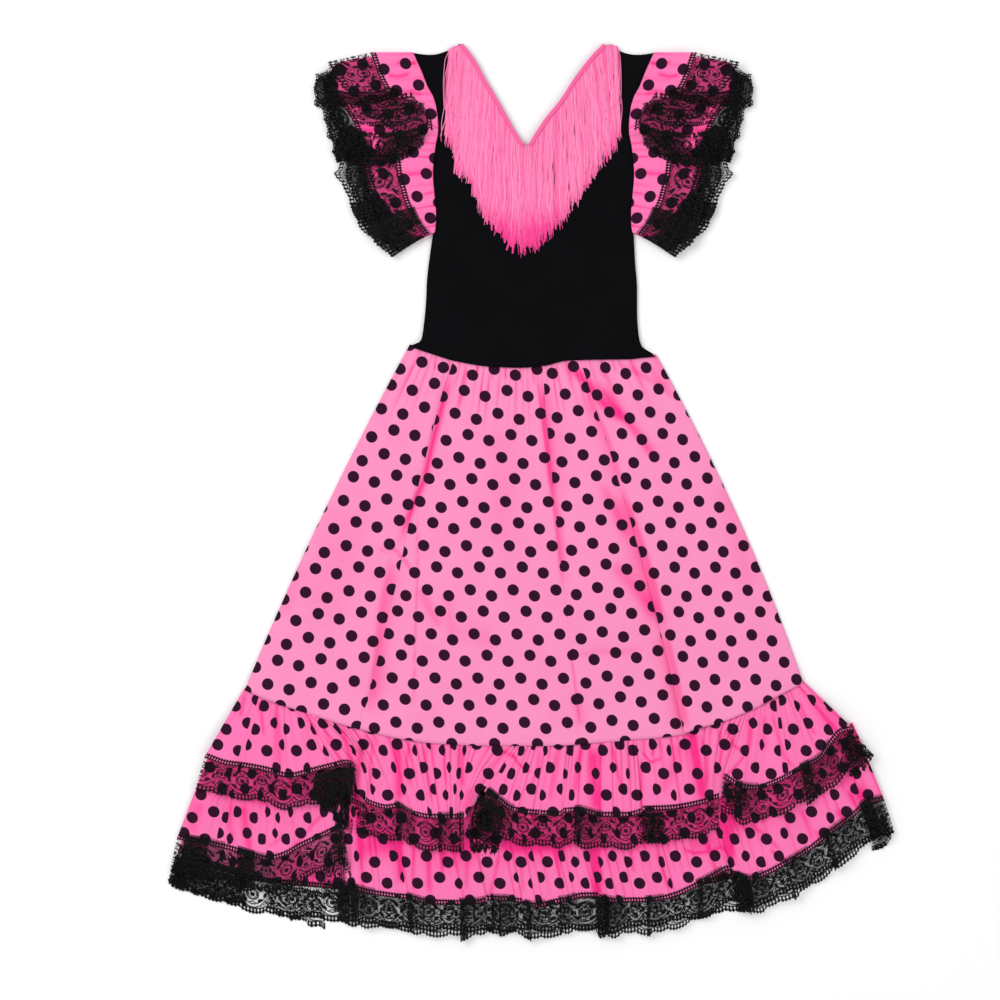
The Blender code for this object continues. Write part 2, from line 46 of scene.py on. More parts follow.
class Sock:
    # wraps a node socket so that shader maths reads as sums
    def __init__(self, graph, socket):
        self.graph = graph
        self.socket = socket

    def maths(self, operation, *values):
        return self.graph.node("Math", {"operation": operation}, dict(enumerate(values)))

    def __add__(self, other):
        return self.maths("ADD", self, other)

    def __sub__(self, other):
        return self.maths("SUBTRACT", self, other)

    def __rsub__(self, other):
        return self.maths("SUBTRACT", other, self)

    def __mul__(self, other):
        return self.maths("MULTIPLY", self, other)

    def __truediv__(self, other):
        return self.maths("DIVIDE", self, other)

    __radd__ = __add__
    __rmul__ = __mul__

    def sine(self):
        return self.maths("SINE", self)

    def size(self):
        return self.maths("ABSOLUTE", self)

    def root(self):
        return self.maths("SQRT", self)

    def least(self, other):
        return self.maths("MINIMUM", self, other)

    def most(self, other):
        return self.maths("MAXIMUM", self, other)

    def below(self, edge, soft):
        # 1 under the edge and 0 over it
        return self.graph.node(
            "MapRange",
            {"interpolation_type": "SMOOTHSTEP"},
            {"Value": self, "From Min": edge + soft, "From Max": edge - soft},
        )

    def wrap(self, length):
        # the place within a repeat, counted from its middle
        return self.maths("WRAP", self, length / 2, -length / 2)


class Graph:
    def __init__(self, name):
        self.material = bpy.data.materials.new(name)
        self.material.use_nodes = True
        self.tree = self.material.node_tree
        self.tree.nodes.clear()

    def node(self, kind, settings=None, values=None, out=0):
        made = self.tree.nodes.new("ShaderNode" + kind)
        for key, value in (settings or {}).items():
            setattr(made, key, value)
        for key, value in (values or {}).items():
            if isinstance(value, Sock):
                self.tree.links.new(value.socket, made.inputs[key])
            else:
                made.inputs[key].default_value = value
        return Sock(self, made.outputs[out])

    def cloth(self):
        # millimetres along and down the flat cloth
        return self.node("UVMap", {"uv_map": "cloth"})

    def split(self, vector):
        return [self.node("SeparateXYZ", None, {0: vector}, out) for out in (0, 1)]

    def stored(self, name):
        return self.node("Attribute", {"attribute_name": name}, None, 2)

    def noise(self, vector, size, detail=2.0):
        return self.node("TexNoise", None, {"Vector": vector, "Scale": 1 / size, "Detail": detail})

    def mix(self, first, second, share):
        values = {0: share, 6: first, 7: second}
        return self.node("Mix", {"data_type": "RGBA"}, values, 2)

    def vector(self, operation, first, second=(0, 0, 0), out=0):
        return self.node("VectorMath", {"operation": operation}, {0: first, 1: second}, out)

    def bump(self, height, depth, strength=1.0, under=None):
        # height 0 to 1 stands for so many millimetres
        values = {"Height": height, "Distance": depth * mm, "Strength": strength}
        if under:
            values["Normal"] = under
        return self.node("Bump", None, values)

    def coat(self, colour, look, normal, **more):
        values = {"Base Color": colour, "Roughness": look["rough"], "Normal": normal, **more}
        values["Specular IOR Level"] = look["shine"]
        return self.node("BsdfPrincipled", None, values)

    def finish(self, surface):
        output = self.tree.nodes.new("ShaderNodeOutputMaterial")
        self.tree.links.new(surface.socket, output.inputs["Surface"])
        return self.material


def rgb(red, green, blue):
    return (red, green, blue, 1)


# printed cotton

cotton = {
    "pink": rgb(0.88, 0.262, 0.49),
    # painted shade: the flounces and ruffles are the same cotton in a deeper pink, for the shade between
    # their gathers
    "flounceShadedPink": rgb(0.90, 0.178, 0.43),
    # painted shade: the deep pink painted into creases, gathers and cloth lying under other cloth
    "creaseShade": rgb(0.88, 0.028, 0.235),
    "dot": rgb(0.026, 0.003, 0.016),
    "cell": (42.8, 44.2),
    "drift": 3.85,  # sideways, for each cell down the cloth
    "start": (-27.3, 35.5),
    "places": ((0, 0), (21.3, -6.0), (13.0, -21.3), (33.9, -27.2)),
    "radius": 5.75,
    "soft": 0.3,  # the edge of a dot
    "ragged": 0.5,  # how much the edges of the dots vary, and how closely
    "raggedSize": 1.6,
    "mottle": 34.0,  # size of the large uneven patches, and how strong they are
    "mottled": 0.3,
    "fine": 2.2,  # and of the small ones
    "finely": 0.10,
    "weave": 0.55,
    "woven": 0.25,  # its share of the fine relief
    "crumple": 9.0,  # size of the crumples, how deep they are and how strongly they show
    "crumpled": (0.5, 0.35),
    "relief": (0.10, 0.5),  # the same for the fine relief
    "uneven": (0.2, 0.6),  # how much of the mottling the red and the blue take
    "mottleShade": 0.6,  # and how much of it goes into the painted shade pink
    "rough": 0.8,
    "shine": 0.1,
}


def cottonCloth(name, pink):
    g = Graph(name)
    across, down = cotton["cell"]
    u, v = g.split(g.cloth())
    fall = (cotton["start"][1] - v) / down
    side = (u - cotton["start"][0] - fall * cotton["drift"]) / across
    lattice = g.node("CombineXYZ", None, {0: side, 1: fall})
    nearest = None
    for dx, dy in cotton["places"]:
        step = -dy / down
        spot = ((dx - step * cotton["drift"]) / across - 0.5, step - 0.5, -0.5)
        inCell = g.vector("FRACTION", g.vector("SUBTRACT", lattice, spot))
        away = g.vector("SUBTRACT", inCell, (0.5, 0.5, 0.5))
        reach = g.vector("LENGTH", g.vector("MULTIPLY", away, (across, down, 0)), out=1)
        nearest = reach if nearest is None else nearest.least(reach)
    ragged = g.noise(g.cloth(), cotton["raggedSize"]) * cotton["ragged"] - cotton["ragged"] / 2
    dot = (nearest + ragged).below(cotton["radius"], cotton["soft"])
    mottle = g.noise(g.cloth(), cotton["mottle"], 3.0)
    fine = g.noise(g.cloth(), cotton["fine"])
    shade = (mottle - 0.5) * cotton["mottled"] + (fine - 0.5) * cotton["finely"]
    # painted shade: the stored fold values and part of the mottling mix the pink towards the crease shade
    # colour
    deeper = (g.stored("fold") + shade.most(0) * cotton["mottleShade"]).most(0).least(1.0)
    tint = g.mix(pink, cotton["creaseShade"], deeper)
    # the green of the pink varies most, so that it turns paler and deeper
    red, blue = cotton["uneven"]
    uneven = g.node("CombineXYZ", None, {0: 1 + shade * red, 1: 1 + shade, 2: 1 + shade * blue})
    tone = g.vector("MULTIPLY", tint, uneven)
    colour = g.mix(tone, cotton["dot"], dot)
    thread = 2 * pi / cotton["weave"]
    weave = (u * thread).sine() * (v * thread).sine()
    height = weave * cotton["woven"] + fine * (1 - cotton["woven"])
    crumple = g.bump(g.noise(g.cloth(), cotton["crumple"], 3.0), *cotton["crumpled"])
    surface = g.bump(height, *cotton["relief"], crumple)
    return g.finish(g.coat(colour, cotton, surface))


# lace: a net ground with flowers, open crescents, a beaded header and a looped edge

lace = {
    "colour": rgb(0.003, 0.003, 0.0035),
    "worn": rgb(0.007, 0.0065, 0.0075),
    "repeat": 40.0,
    "top": -7.5,  # where it starts, from the hem
    "header": (-4.2, -0.8),  # its two cords, from the hem
    "cord": 1.3,
    "bars": 2.9,
    "netPitch": 1.5,
    "netThread": 0.055,
    "netLean": 0.6,  # slope of its slanted threads
    "netLevel": 0.9,  # pitch of the level ones, as a share of theirs
    "branch": 9.0,  # spacing of the branches between the flowers
    "branches": ((0.47, 0.019), (0.6, 0.013)),  # the level of the noise that each set follows, and its width
    "drop": 29.0,  # how far it hangs past the hem between the scallops
    "wide": 39.0,  # the flat strip
    "scallops": ((0.0, 13.0, 4.6), (20.0, 7.0, 2.4)),  # middle, half width and depth
    "loops": 3.4,
    "slot": (4.1, 1.5),  # its middle, from the edge, and its half height
    "picot": (1.3, 1.1),  # its middle, from the edge, and its radius
    "bandAt": 8.6,  # from the edge to the open net band over each scallop
    "bandWide": 2.4,
    "bandCord": 1.0,
    "picotHeader": 0.8,  # radius of the header's picots and how far they stand over it
    "barHalf": 0.8,
    "wear": 1.1,  # size of the worn spots
    "crowd": (2.2, 1.4),  # size of the gaps that close where it is matted, and how fast they do
    "relief": (0.35, 0.7),
    "rough": 0.7,
    "shine": 0.08,
}
# shapes in half a repeat, mirrored about its middle: x, y down, half axes, turn in degrees, and
# the thread as a share of the shape, or 0 for a filled one
laceShapes = (
    (0.0, 14.0, 2.3, 1.8, 0, 0.0),
    (0.0, 14.0, 5.8, 4.7, 0, 0.24),
    (6.8, 8.0, 3.3, 1.5, 40, 0.0),
    (8.0, 19.4, 3.2, 1.4, -30, 0.0),
    (0.0, 5.6, 2.3, 2.3, 0, 0.4),
    (13.4, 4.6, 3.6, 1.3, -20, 0.0),
    (12.6, 13.4, 1.5, 2.8, 20, 0.0),
    (20.0, 9.6, 1.7, 1.7, 0, 0.0),
    (20.0, 9.6, 4.9, 4.3, 0, 0.26),
    (20.0, 17.6, 2.4, 1.5, 0, 0.0),
    (14.8, 20.8, 2.6, 1.1, 55, 0.0),
)


def laceCloth(name):
    g = Graph(name)
    u, v = g.split(g.cloth())
    x = u.wrap(lace["repeat"]).size()

    def inShape(row):
        cx, cy, wide, tall, turn = row[:5]
        a = radians(turn)
        dx = x - cx
        dy = v - cy
        side = (dx * np.cos(a) + dy * np.sin(a)) / wide
        over = (dy * np.cos(a) - dx * np.sin(a)) / tall
        return (side * side + over * over).root()

    # the net: two slanted sets of threads and a level one
    pitch, thread = lace["netPitch"], lace["netThread"] / 2
    net = v.wrap(pitch * lace["netLevel"]).size().below(thread, 0.04)
    for lean in (-lace["netLean"], lace["netLean"]):
        net = net.most((u + v * lean).wrap(pitch).size().below(thread, 0.04))
    # branches wander over it, mirrored with the flowers
    mirrored = g.node("CombineXYZ", None, {0: x, 1: v})
    drift = g.noise(mirrored, lace["branch"], 1.0)
    first, second = ((drift - level).size().below(wide, 0.006) for level, wide in lace["branches"])
    solid = first.most(second)
    for row in laceShapes:
        reach = inShape(row)
        part = (reach - 1).size().below(row[5] / 2, 0.05) if row[5] else reach.below(1.0, 0.16)
        solid = solid.most(part)
    worn = g.noise(g.cloth(), lace["wear"])
    # a net band curves over each scallop between two cords; what is left before the edge is
    # stored with the mesh
    left = g.stored("left")
    (wide, narrow) = (half for middle, half, depth in lace["scallops"])
    large, small = x / wide, (lace["repeat"] / 2 - x) / narrow
    inner = left - (large * large).least(small * small) * 5.0
    band = lace["bandWide"] / 2
    overBand = (inner - lace["bandAt"]).size()
    cord = lace["bandCord"] / 2
    bandCords = (overBand - band - cord).size().below(cord, 0.15)
    # thin cords let some of the cloth under them through, and the net more of it
    through = g.stored("through")
    net = net * (1 - through * 10)
    motifs = solid * (worn * 0.5 + 0.75).least(1.0) * (1 - overBand.below(band, 0.15))
    cover = net.most(motifs).most(bandCords)
    # the header: two cords with bars between them and small picots above
    top, low = lace["header"]
    upperCord, lowerCord = ((v - place).size().below(lace["cord"] / 2, 0.18) for place in (top, low))
    cords = upperCord.most(lowerCord)
    bar = u.wrap(lace["bars"])
    bars = bar.size().below(lace["barHalf"], 0.18)
    bars = bars * (v - (top + low) / 2).size().below((low - top) / 2, 0.1)
    high = lace["picotHeader"]
    picots = (bar * bar + (v - top + high) * (v - top + high)).root().below(high, 0.2)
    header = cords.most(bars).most(picots)
    inHeader = v.below(low + 0.4, 0.1)
    cover = (cover * (1 - inHeader)).most(header)
    # below the band, slots between bars that end in picots
    loop = u.wrap(lace["loops"])
    slotAt, slotHigh = lace["slot"]
    over = (left - slotAt) / slotHigh
    slots = (loop * loop * 1.2 + over * over).root().below(1.0, 0.25)
    tip = (u + lace["loops"] / 2).wrap(lace["loops"])
    picotAt, picotWide = lace["picot"]
    picot = (tip * tip + (left - picotAt) * (left - picotAt)).root().below(picotWide, 0.25)
    inEdge = left.below(lace["bandAt"] - band - 0.9, 0.2)
    edge = (left.below(lace["bandAt"], 0.1) * (1 - left.below(1.4, 0.2))).most(picot) * (1 - slots)
    cover = (cover * (1 - inEdge)).most(edge * inEdge)
    size, fast = lace["crowd"]
    crowd = g.noise(g.cloth(), size, 3.0)
    cover = cover.most((g.stored("dense") * fast - crowd).most(0)).least(1.0) * (1 - through * 0.5)
    tint = g.mix(lace["colour"], lace["worn"], worn)
    height = g.bump(cover, *lace["relief"])
    return g.finish(g.coat(tint, lace, height, Alpha=cover))


# stretch knit for the bodice

knit = {
    "colour": rgb(0.0022, 0.0022, 0.0028),
    "lit": rgb(0.005, 0.005, 0.006),
    "wale": 1.1,
    "course": 0.9,
    "ribs": 0.6,  # the share of the wales in the relief
    "haze": 42.0,  # size of the paler patches, and how strongly they and the painted highlight and shade on the loops show
    "hazy": 0.7,
    "looped": 0.1,
    "relief": (0.12, 0.5),
    "rough": 0.88,
    "shine": 0.04,
}


def knitCloth(name):
    g = Graph(name)
    u, v = g.split(g.cloth())
    wales = (u * (2 * pi / knit["wale"])).sine()
    courses = (v * (2 * pi / knit["course"])).sine()
    loops = wales * knit["ribs"] + courses * (1 - knit["ribs"])
    haze = g.noise(g.cloth(), knit["haze"], 3.0)
    # the loops are painted lighter and darker along their relief, a painted highlight and shade; the haze
    # gives paler patches at random
    colour = g.mix(knit["colour"], knit["lit"], haze * knit["hazy"] + loops * knit["looped"])
    height = g.bump(loops * 0.5 + 0.5, *knit["relief"])
    return g.finish(g.coat(colour, knit, height))


# rayon cord for the fringe and its braid

cordLook = {
    "pale": rgb(1.0, 0.31, 0.56),
    "deep": rgb(0.92, 0.06, 0.31),
    "twist": 2.2,
    "twisted": 0.18,  # painted shade: how much deeper the pink is between the turns
    "relief": (0.25, 0.6),
    "rough": 0.6,
    "shine": 0.15,
}


def cordCloth(name):
    g = Graph(name)
    u, v = g.split(g.cloth())
    twist = ((u * 2 + v) * (2 * pi / cordLook["twist"])).sine() * 0.5 + 0.5
    tone = g.stored("tone")
    # painted shade between the turns of the cord
    deeper = (tone + (1 - twist) * cordLook["twisted"]).least(1.0).most(0)
    colour = g.mix(cordLook["pale"], cordLook["deep"], deeper)
    height = g.bump(twist, *cordLook["relief"])
    return g.finish(g.coat(colour, cordLook, height))


pinkCotton = cottonCloth("pinkCotton", cotton["pink"])
# painted shade: the same cotton in a deeper pink for the flounces and sleeve ruffles
flounceShadedCotton = cottonCloth("flounceShadedCotton", cotton["flounceShadedPink"])
blackLace = laceCloth("blackLace")
blackKnit = knitCloth("blackKnit")
pinkCord = cordCloth("pinkCord")
print("materials made")


def table(names, *rows):
    # columns by name, from rows of numbers; what a row leaves out is 0
    names = names.split()
    full = [(*row, *[0] * (len(names) - len(row))) for row in rows]
    return dict(zip(names, np.array(full, float).T))


# seams that two pieces share, from the left of the dress to the right
waist = table(
    "x y",
    (-119, 146), (-99, 139.5), (-75, 132), (-37, 126), (-10, 125), (15, 127),
    (37, 132), (62, 133), (99, 133.5), (114, 135), (127, 136),
)
skirtSeam = table(
    "x y",
    (-284, -197), (-256, -209), (-223, -220), (-183, -232), (-147, -242), (-110, -249),
    (-50, -252.5), (17, -252.5), (96, -247), (139, -245), (165, -236), (194, -228),
    (217, -220), (237, -209), (261, -196), (274, -190),
)
flounceSeam = table(
    "x y",
    (-316, -252), (-279, -264), (-229, -272), (-180, -285), (-129, -302), (-69, -311),
    (1, -310), (71, -312), (131, -305), (191, -295), (241, -277), (291, -255), (323, -229),
)

# ruled panels: each row joins a place on the top seam to a place on the hem. bow bends
# the line between them sideways, fan leans the lace below it, and lift raises a fold
skirtRows = table(
    "top x y lift bow",
    (-119, -284, -197, 0, -6), (-107, -258, -208, 1.2, -4), (-96, -222, -220, 0.3, -2),
    (-86, -191, -230, 1.6), (-77, -173, -235, 1.9), (-74, -165, -237, 0.9), (-65, -146, -242, 0.2),
    (-60, -134, -244.5, 1.1), (-45, -95, -250, 0.2), (-20, -40, -252.5), (0, 20, -252.5, 0.7),
    (12, 49, -251, 1.2), (15, 54, -250.5, 0.6), (32, 100, -247, 0, 4), (49, 149, -242, 0.3, 6),
    (51.5, 155, -240, 5.2, 6), (58, 168, -235, 4.0, 6), (74, 192, -229, 1.4, 6),
    (95, 226, -215, 0.4, 7), (112, 250, -202, 1.0, 8), (127, 274, -190, 0, 9),
)
upperFront = table(
    "top x y lift fan bow",
    (-284, -324, -264, 0, -8), (-274, -303, -271, 1.5, -3), (-266, -286, -273.5, 0.4),
    (-254, -261, -278, 2.4), (-244, -239, -284, 0.6), (-235, -217, -279, 2.6),
    (-228, -194, -273, 3.2, 2), (-224, -179, -269.5, 4.6, 3), (-222, -172, -271, 5.0),
    (-219, -166, -304, 0, 0, 19), (-207, -160, -310, 0.8, 0, 15), (-179, -141, -315, 2.2, 0, 5),
    (-161, -129, -313.5, 0.2, 0, 1), (-141, -116, -321, 1.4), (-116, -99, -324.5, 2.4),
    (-74, -76, -325, 0.8), (-39, -65, -324, 1.2, 0, -6), (-17, -57.5, -313, 0, 0, -10),
    (-14, -49.5, -296, 5.0, -8), (-5, -33, -306, 4.6, -5), (5, -17, -317, 3.0), (21, 8, -321, 1.0),
    (37, 30, -322, 2.2), (42, 35, -319), (54, 50, -318, 2.4), (73, 72, -323, 0.6),
    (93, 96, -323, 2.0), (106, 110, -320), (109, 113, -317, 4.0), (131, 139.5, -316, 2.2),
    (151, 161, -313, 0.8), (171, 177, -309, 2.4, 0, -1), (195, 184, -306, 1.2, 0, -4),
    (213, 189.5, -304, 0, 0, -7), (216, 192.5, -284, 5.0, -2), (226, 211, -294, 4.2),
    (234, 226, -296, 2.4), (244, 248, -289, 0.8, 2), (252, 270, -277, 2.6, 5),
    (259, 291, -266, 1.0, 8), (264, 300, -252.5, 2.6, 12), (269, 313, -238.5, 1.0, 15),
    (274, 324, -236, 0, 17),
)
lowerFront = table(
    "top x y lift fan bow",
    (-316, -352, -346, 0, -6), (-301, -328, -350, 2.0, -3), (-286, -303, -356, 0.6),
    (-273, -281, -362, 2.6), (-261, -261, -367, 1.0, 2), (-249, -245, -363, 3.2, 4),
    (-235, -228, -354, 1.6, 6), (-221, -211, -346, 3.4, 4), (-207, -195, -338, 3.8, 3),
    (-195, -187, -334, 4.8, 1), (-189, -183, -335, 5.0), (-186, -180.5, -393, 0, 0, 3),
    (-176, -169, -398, 1.2), (-151, -137, -404, 3.0), (-136, -119, -406, 0.6),
    (-121, -101, -410, 3.2), (-105, -84, -411, 0.8), (-89, -66, -411, 3.4), (-76, -54, -411, 1.0),
    (-63, -42, -408.5, 3.2), (-60, -39, -407, 0.4), (-45, -25, -407, 3.2), (-29, -10, -409.5, 1.0),
    (-26, -5.5, -411, 3.4), (-13, 8, -414, 2.0), (1, 24, -411, 0.6), (16, 40, -407.5, 3.4),
    (30, 54, -404, 1.0), (45, 70, -403.5, 3.6), (48, 73, -406, 0.2), (64, 88, -409, 3.2),
    (79, 103, -409, 0.8), (93, 118, -408.5, 3.4), (107, 133, -407, 1.0), (121, 147, -403, 3.2),
    (135, 161, -397, 0.6), (157, 183, -385, 2.2, 2), (176, 200.5, -377, 0, 4),
    (180, 205, -381, 5.0, 5), (193, 222, -387, 3.6, 6), (208, 237, -382, 1.0, 6),
    (230, 259, -370, 3.2, 8), (251, 280.5, -358, 0.8, 8), (273, 302, -340, 3.2, 9),
    (286, 315, -331, 0.6, 10), (297, 326, -322, 2.4, 10), (311, 339, -311, 0.8, 10),
    (323, 355, -307, 0, 9),
)
# where folds hide the lace: the seam places of the rows that end and begin a stretch
upperBreaks = ((-222, -219), (-39, -14), (213, 216))
lowerBreaks = ((-189, -186),)
sleeveBreaks = ((405, 396), (359, 347))
lowerBack = table(
    "top x y lift fan",
    (-316, -351, -359, 0, -10), (-279, -322, -371, 0, -6), (-229, -272, -388), (-180, -184, -397),
    (-129, -110, -405), (-69, -43, -407), (1, 24, -406), (71, 96, -404), (131, 157, -395, 0, 3),
    (191, 220, -381, 0, 6), (241, 271, -360, 0, 8), (291, 321, -323, 0, 10), (323, 353, -307, 0, 9),
)
upperBack = table(
    "top x y lift fan",
    (-284, -322, -265, 0, -8), (-223, -238, -286), (-147, -150, -308), (-50, -60, -322),
    (17, 10, -320), (96, 96, -321), (165, 178, -308, 0, 2), (217, 246, -288, 0, 4),
    (274, 322, -237, 0, 14),
)

# both sides of the neckline, then each outer edge of the bodice, level by level down
neck = table(
    "y left right",
    (449, -66, 74), (433, -54, 59), (413, -43, 44), (393, -31, 31), (373, -20, 15),
    (353, -8, 2), (346, -2, -2),
)
leftEdge = table(
    "y x",
    (440, -117), (420, -108), (405, -102), (396, -97), (383, -93.5), (363, -92), (343, -95),
    (318, -97), (298, -95.5), (280, -94), (265, -94.5), (258, -96), (238, -99), (213, -102),
    (193, -103), (173, -105), (155, -108), (146, -119),
)
rightEdge = table(
    "y x",
    (440, 126), (420, 117), (405, 111), (396, 106), (383, 102.5), (363, 101), (343, 104),
    (318, 106), (298, 104.5), (280, 103), (265, 103.5), (258, 104.5), (231, 106), (203, 108),
    (183, 108), (163, 109), (148, 112), (136, 127),
)
mirrorX = 4.5  # the sleeves are alike on both sides of this line

# left sleeve ruffles: arm is a height on the armhole, x and y the cloth's hem there, and
# edge_x and edge_y the end of its lace
sleeveUpperFront = table(
    "arm x y edge_x edge_y lift",
    (440, -158, 439, -195, 431, 2.5), (431, -154, 427, -194, 421, 3.5),
    (418, -149, 413, -187, 408, 3.0), (405, -143, 402, -173, 398, 5.0), (402, -140, 398, -167, 389),
    (396, -131, 394.5, -163, 381, 0.8), (388, -117, 390, -147, 371, 2.6),
    (378, -107, 383, -136, 362, 3.0), (368, -102, 372, -129, 352, 4.2),
    (359, -101, 363, -124, 342, 4.6), (355, -108, 356.5, -142, 341),
    (347, -122, 349, -158, 334, 0.8), (338, -134, 340, -171, 327, 2.4),
    (328, -133, 327, -169, 314, 0.4), (318, -131, 313, -168, 301, 2.2),
    (308, -128, 303, -164, 290, 0.4), (298, -125, 292, -161, 278, 2.4),
    (288, -121, 283, -156, 268, 0.4), (278, -117, 274, -151, 257, 2.0),
    (260, -104, 256, -135, 236, 0.2),
)
sleeveLowerFront = table(
    "arm x y edge_x edge_y lift",
    (440, -188, 431, -196, 427, 0.3), (431, -197, 423, -207, 418, 1.8),
    (418, -199, 411, -213, 406, 0.4), (403, -196, 398, -211, 392, 2.0),
    (393, -189, 390, -202, 383, 0.4), (378, -177, 373, -199, 365, 2.0),
    (363, -171, 358, -195, 351, 0.4), (348, -167, 343, -191, 337, 2.0),
    (335, -165, 330, -188, 327, 0.4), (323, -163, 318, -191, 319, 2.0),
    (308, -158, 303, -183, 303, 0.4), (293, -149, 288, -174, 284, 2.0),
    (280, -139, 273, -165, 268, 0.4), (270, -128, 261, -150, 250, 1.8),
    (260, -115, 250, -135, 237, 0.2),
)
sleeveUpperBack = table(
    "arm x y edge_x edge_y lift",
    (440, -157, 438, -189, 429), (418, -150, 413, -182, 403), (396, -140, 390, -174, 378),
    (363, -136, 356, -170, 346), (343, -136, 338, -170, 328), (318, -135, 311, -168, 299),
    (293, -128, 285, -160, 268), (260, -108, 254, -134, 239),
)
sleeveLowerBack = table(
    "arm x y edge_x edge_y lift",
    (440, -176, 434, -193, 427), (418, -188, 411, -210, 405), (396, -183, 388, -205, 382),
    (363, -167, 356, -194, 350), (343, -163, 338, -190, 333), (318, -160, 311, -187, 309),
    (293, -150, 285, -174, 280), (260, -116, 250, -134, 238),
)

# the fringe: x and y of the tips, from the shoulder to the middle
fringeLeft = table(
    "x y",
    (-83, 353), (-71, 327), (-62, 318), (-53, 297), (-42, 277), (-33, 267), (-19, 251),
    (-3.2, 244),
)
fringeRight = table(
    "x y",
    (90, 360), (80, 336), (69, 327), (54, 301), (39, 279), (23, 263), (11, 252), (-1, 245),
)

# layers, in millimetres: a solid's wall, the clear space over it, and the cloth that shows
wall = 1.1
gap = 0.45
onBack = wall + gap
lapped = 2 * onBack + gap
clothThick = 0.55
clothLift = 0.3


def smooth(knots, values, at):
    # a curve through the values that never passes beyond them
    if knots[0] > knots[-1]:
        knots, values = knots[::-1], values[::-1]
    width = np.diff(knots)
    slopes = np.diff(values) / width
    rising = slopes[:-1] * slopes[1:] > 0
    both = np.where(rising, slopes[:-1] + slopes[1:], 1.0)
    inner = np.where(rising, 2 * slopes[:-1] * slopes[1:] / both, 0.0)
    tangent = np.concatenate([slopes[:1], inner, slopes[-1:]])
    cell = np.clip(np.searchsorted(knots, at, side="right") - 1, 0, len(width) - 1)
    t = np.clip((at - knots[cell]) / width[cell], 0, 1)
    start, end = values[cell], values[cell + 1]
    bend = t * (1 - t) * width[cell]
    turned = bend * ((1 - t) * tangent[cell] - t * tangent[cell + 1])
    return start + (end - start) * t * t * (3 - 2 * t) + turned


def ease(t):
    t = np.clip(t, 0, 1)
    return t * t * (3 - 2 * t)


def lerp(start, end, share):
    return start + (end - start) * share


def slope(start, end, begin=0.0, by=1.0):
    # a height that eases from one value to another as the cloth goes down
    return lambda share: lerp(start, end, ease((share - begin) / (by - begin)))


def along(seamTable, drop=0.0):
    def seam(panel, column):
        x = panel.row("top", column)
        return x, smooth(seamTable["x"], seamTable["y"], x) - drop

    return seam


def armhole(over):
    def seam(panel, column):
        y = panel.row("arm", column)
        return smooth(leftEdge["y"], leftEdge["x"], y) + over, y

    return seam


def arcLength(points):
    steps = np.linalg.norm(np.diff(points, axis=0), axis=-1)
    return np.concatenate([[0], np.cumsum(steps)])


def curveThrough(knots, count):
    # a smooth line through given points
    knots = np.array(knots, float)
    run = arcLength(knots)
    places = np.linspace(0, run[-1], count)
    return np.stack([smooth(run, knots[:, 0], places), smooth(run, knots[:, 1], places)], axis=-1)


taper = {
    "stroke": (0.02, 0.3),  # how far past its ends a crease runs, and the share over which it fades
    "streak": 0.2,
}


def stroke(x, y, marks):
    # creases drawn one by one: each runs x0 y0 to x1 y1 with a half width and a height
    total = np.zeros_like(x)
    past, fade = taper["stroke"]
    for x0, y0, x1, y1, half, height in marks:
        dx, dy = x1 - x0, y1 - y0
        length = np.hypot(dx, dy)
        t = ((x - x0) * dx + (y - y0) * dy) / length**2
        away = ((x - x0) * dy - (y - y0) * dx) / length
        ends = ease((t + past) / fade) * ease((1 + past - t) / fade)
        total = total + height * np.exp(-((away / half) ** 2)) * ends
    return total


def streaks(x, y, lines):
    # soft lines drawn one by one, each with its width, or its widths on the left and the right, its
    # strength and the points it runs through from the top
    total = np.zeros_like(x)
    for width, strength, *knots in lines:
        leftWide, rightWide = np.broadcast_to(width, 2)
        knots = np.array(knots, float)
        run = arcLength(knots)
        nearest = np.full_like(x, 1e9)
        place = np.zeros_like(x)
        side = np.zeros_like(x)
        for number, (start, end) in enumerate(zip(knots[:-1], knots[1:])):
            dx, dy = end - start
            t = np.clip(((x - start[0]) * dx + (y - start[1]) * dy) / (dx * dx + dy * dy), 0, 1)
            away = np.hypot(x - start[0] - t * dx, y - start[1] - t * dy)
            closer = away < nearest
            place = np.where(closer, lerp(run[number], run[number + 1], t) / run[-1], place)
            side = np.where(closer, dx * (y - start[1]) - dy * (x - start[0]), side)
            nearest = np.where(closer, away, nearest)
        wide = np.where(side > 0, rightWide, leftWide)
        ends = ease(place / taper["streak"]), ease((1 - place) / taper["streak"])
        total += strength * np.exp(-((nearest / wide) ** 2)) * ends[0] * ends[1]
    return np.minimum(total, 1)


gathers = {
    "unlike": 211,  # how many there are before they repeat
    "pace": 1.02,  # how many there are to a column
    "uneven": ((0.34, 0.83), (0.22, 2.1)),  # two waves in their spacing: strength and pace
    "depth": (0.45, 1.0),
    "length": (0.3, 1.5),
    "hidden": (2.5, 9.0),  # millimetres of cloth that a tucked one hides
    "tucked": 0.46,  # the share of them that hide some
    "cut": 0.1,  # the part of a side that tucks the cloth in, where it cuts the dots
    "squeeze": 0.6,  # and where it squeezes them
    "fade": (0.015, 0.06),  # where they start under the seam
    "calmEdge": 12,  # millimetres over which a calm stretch begins and ends
    "sharp": 0.8,
    "full": 0.1,  # the part of its length over which each keeps its depth
    "sorts": (2, 5),  # so many out of so many cut the dots
    # where cloth tucked into the next one shows as a fine line of painted shade: places on a side and their
    # widths
    "line": ((0.86, 0.14), (0.1, 0.1)),
    "onward": ((0.55, 0.4), (0.45, 0.4)),  # the same where they run on to the hem
    "broad": {"columns": 7, "drift": 0.8, "pace": 0.31},  # long waves under them
}
gatherDepth = dice.uniform(*gathers["depth"], gathers["unlike"])
gatherLength = dice.uniform(*gathers["length"], gathers["unlike"])
gatherHidden = dice.uniform(*gathers["hidden"], gathers["unlike"])
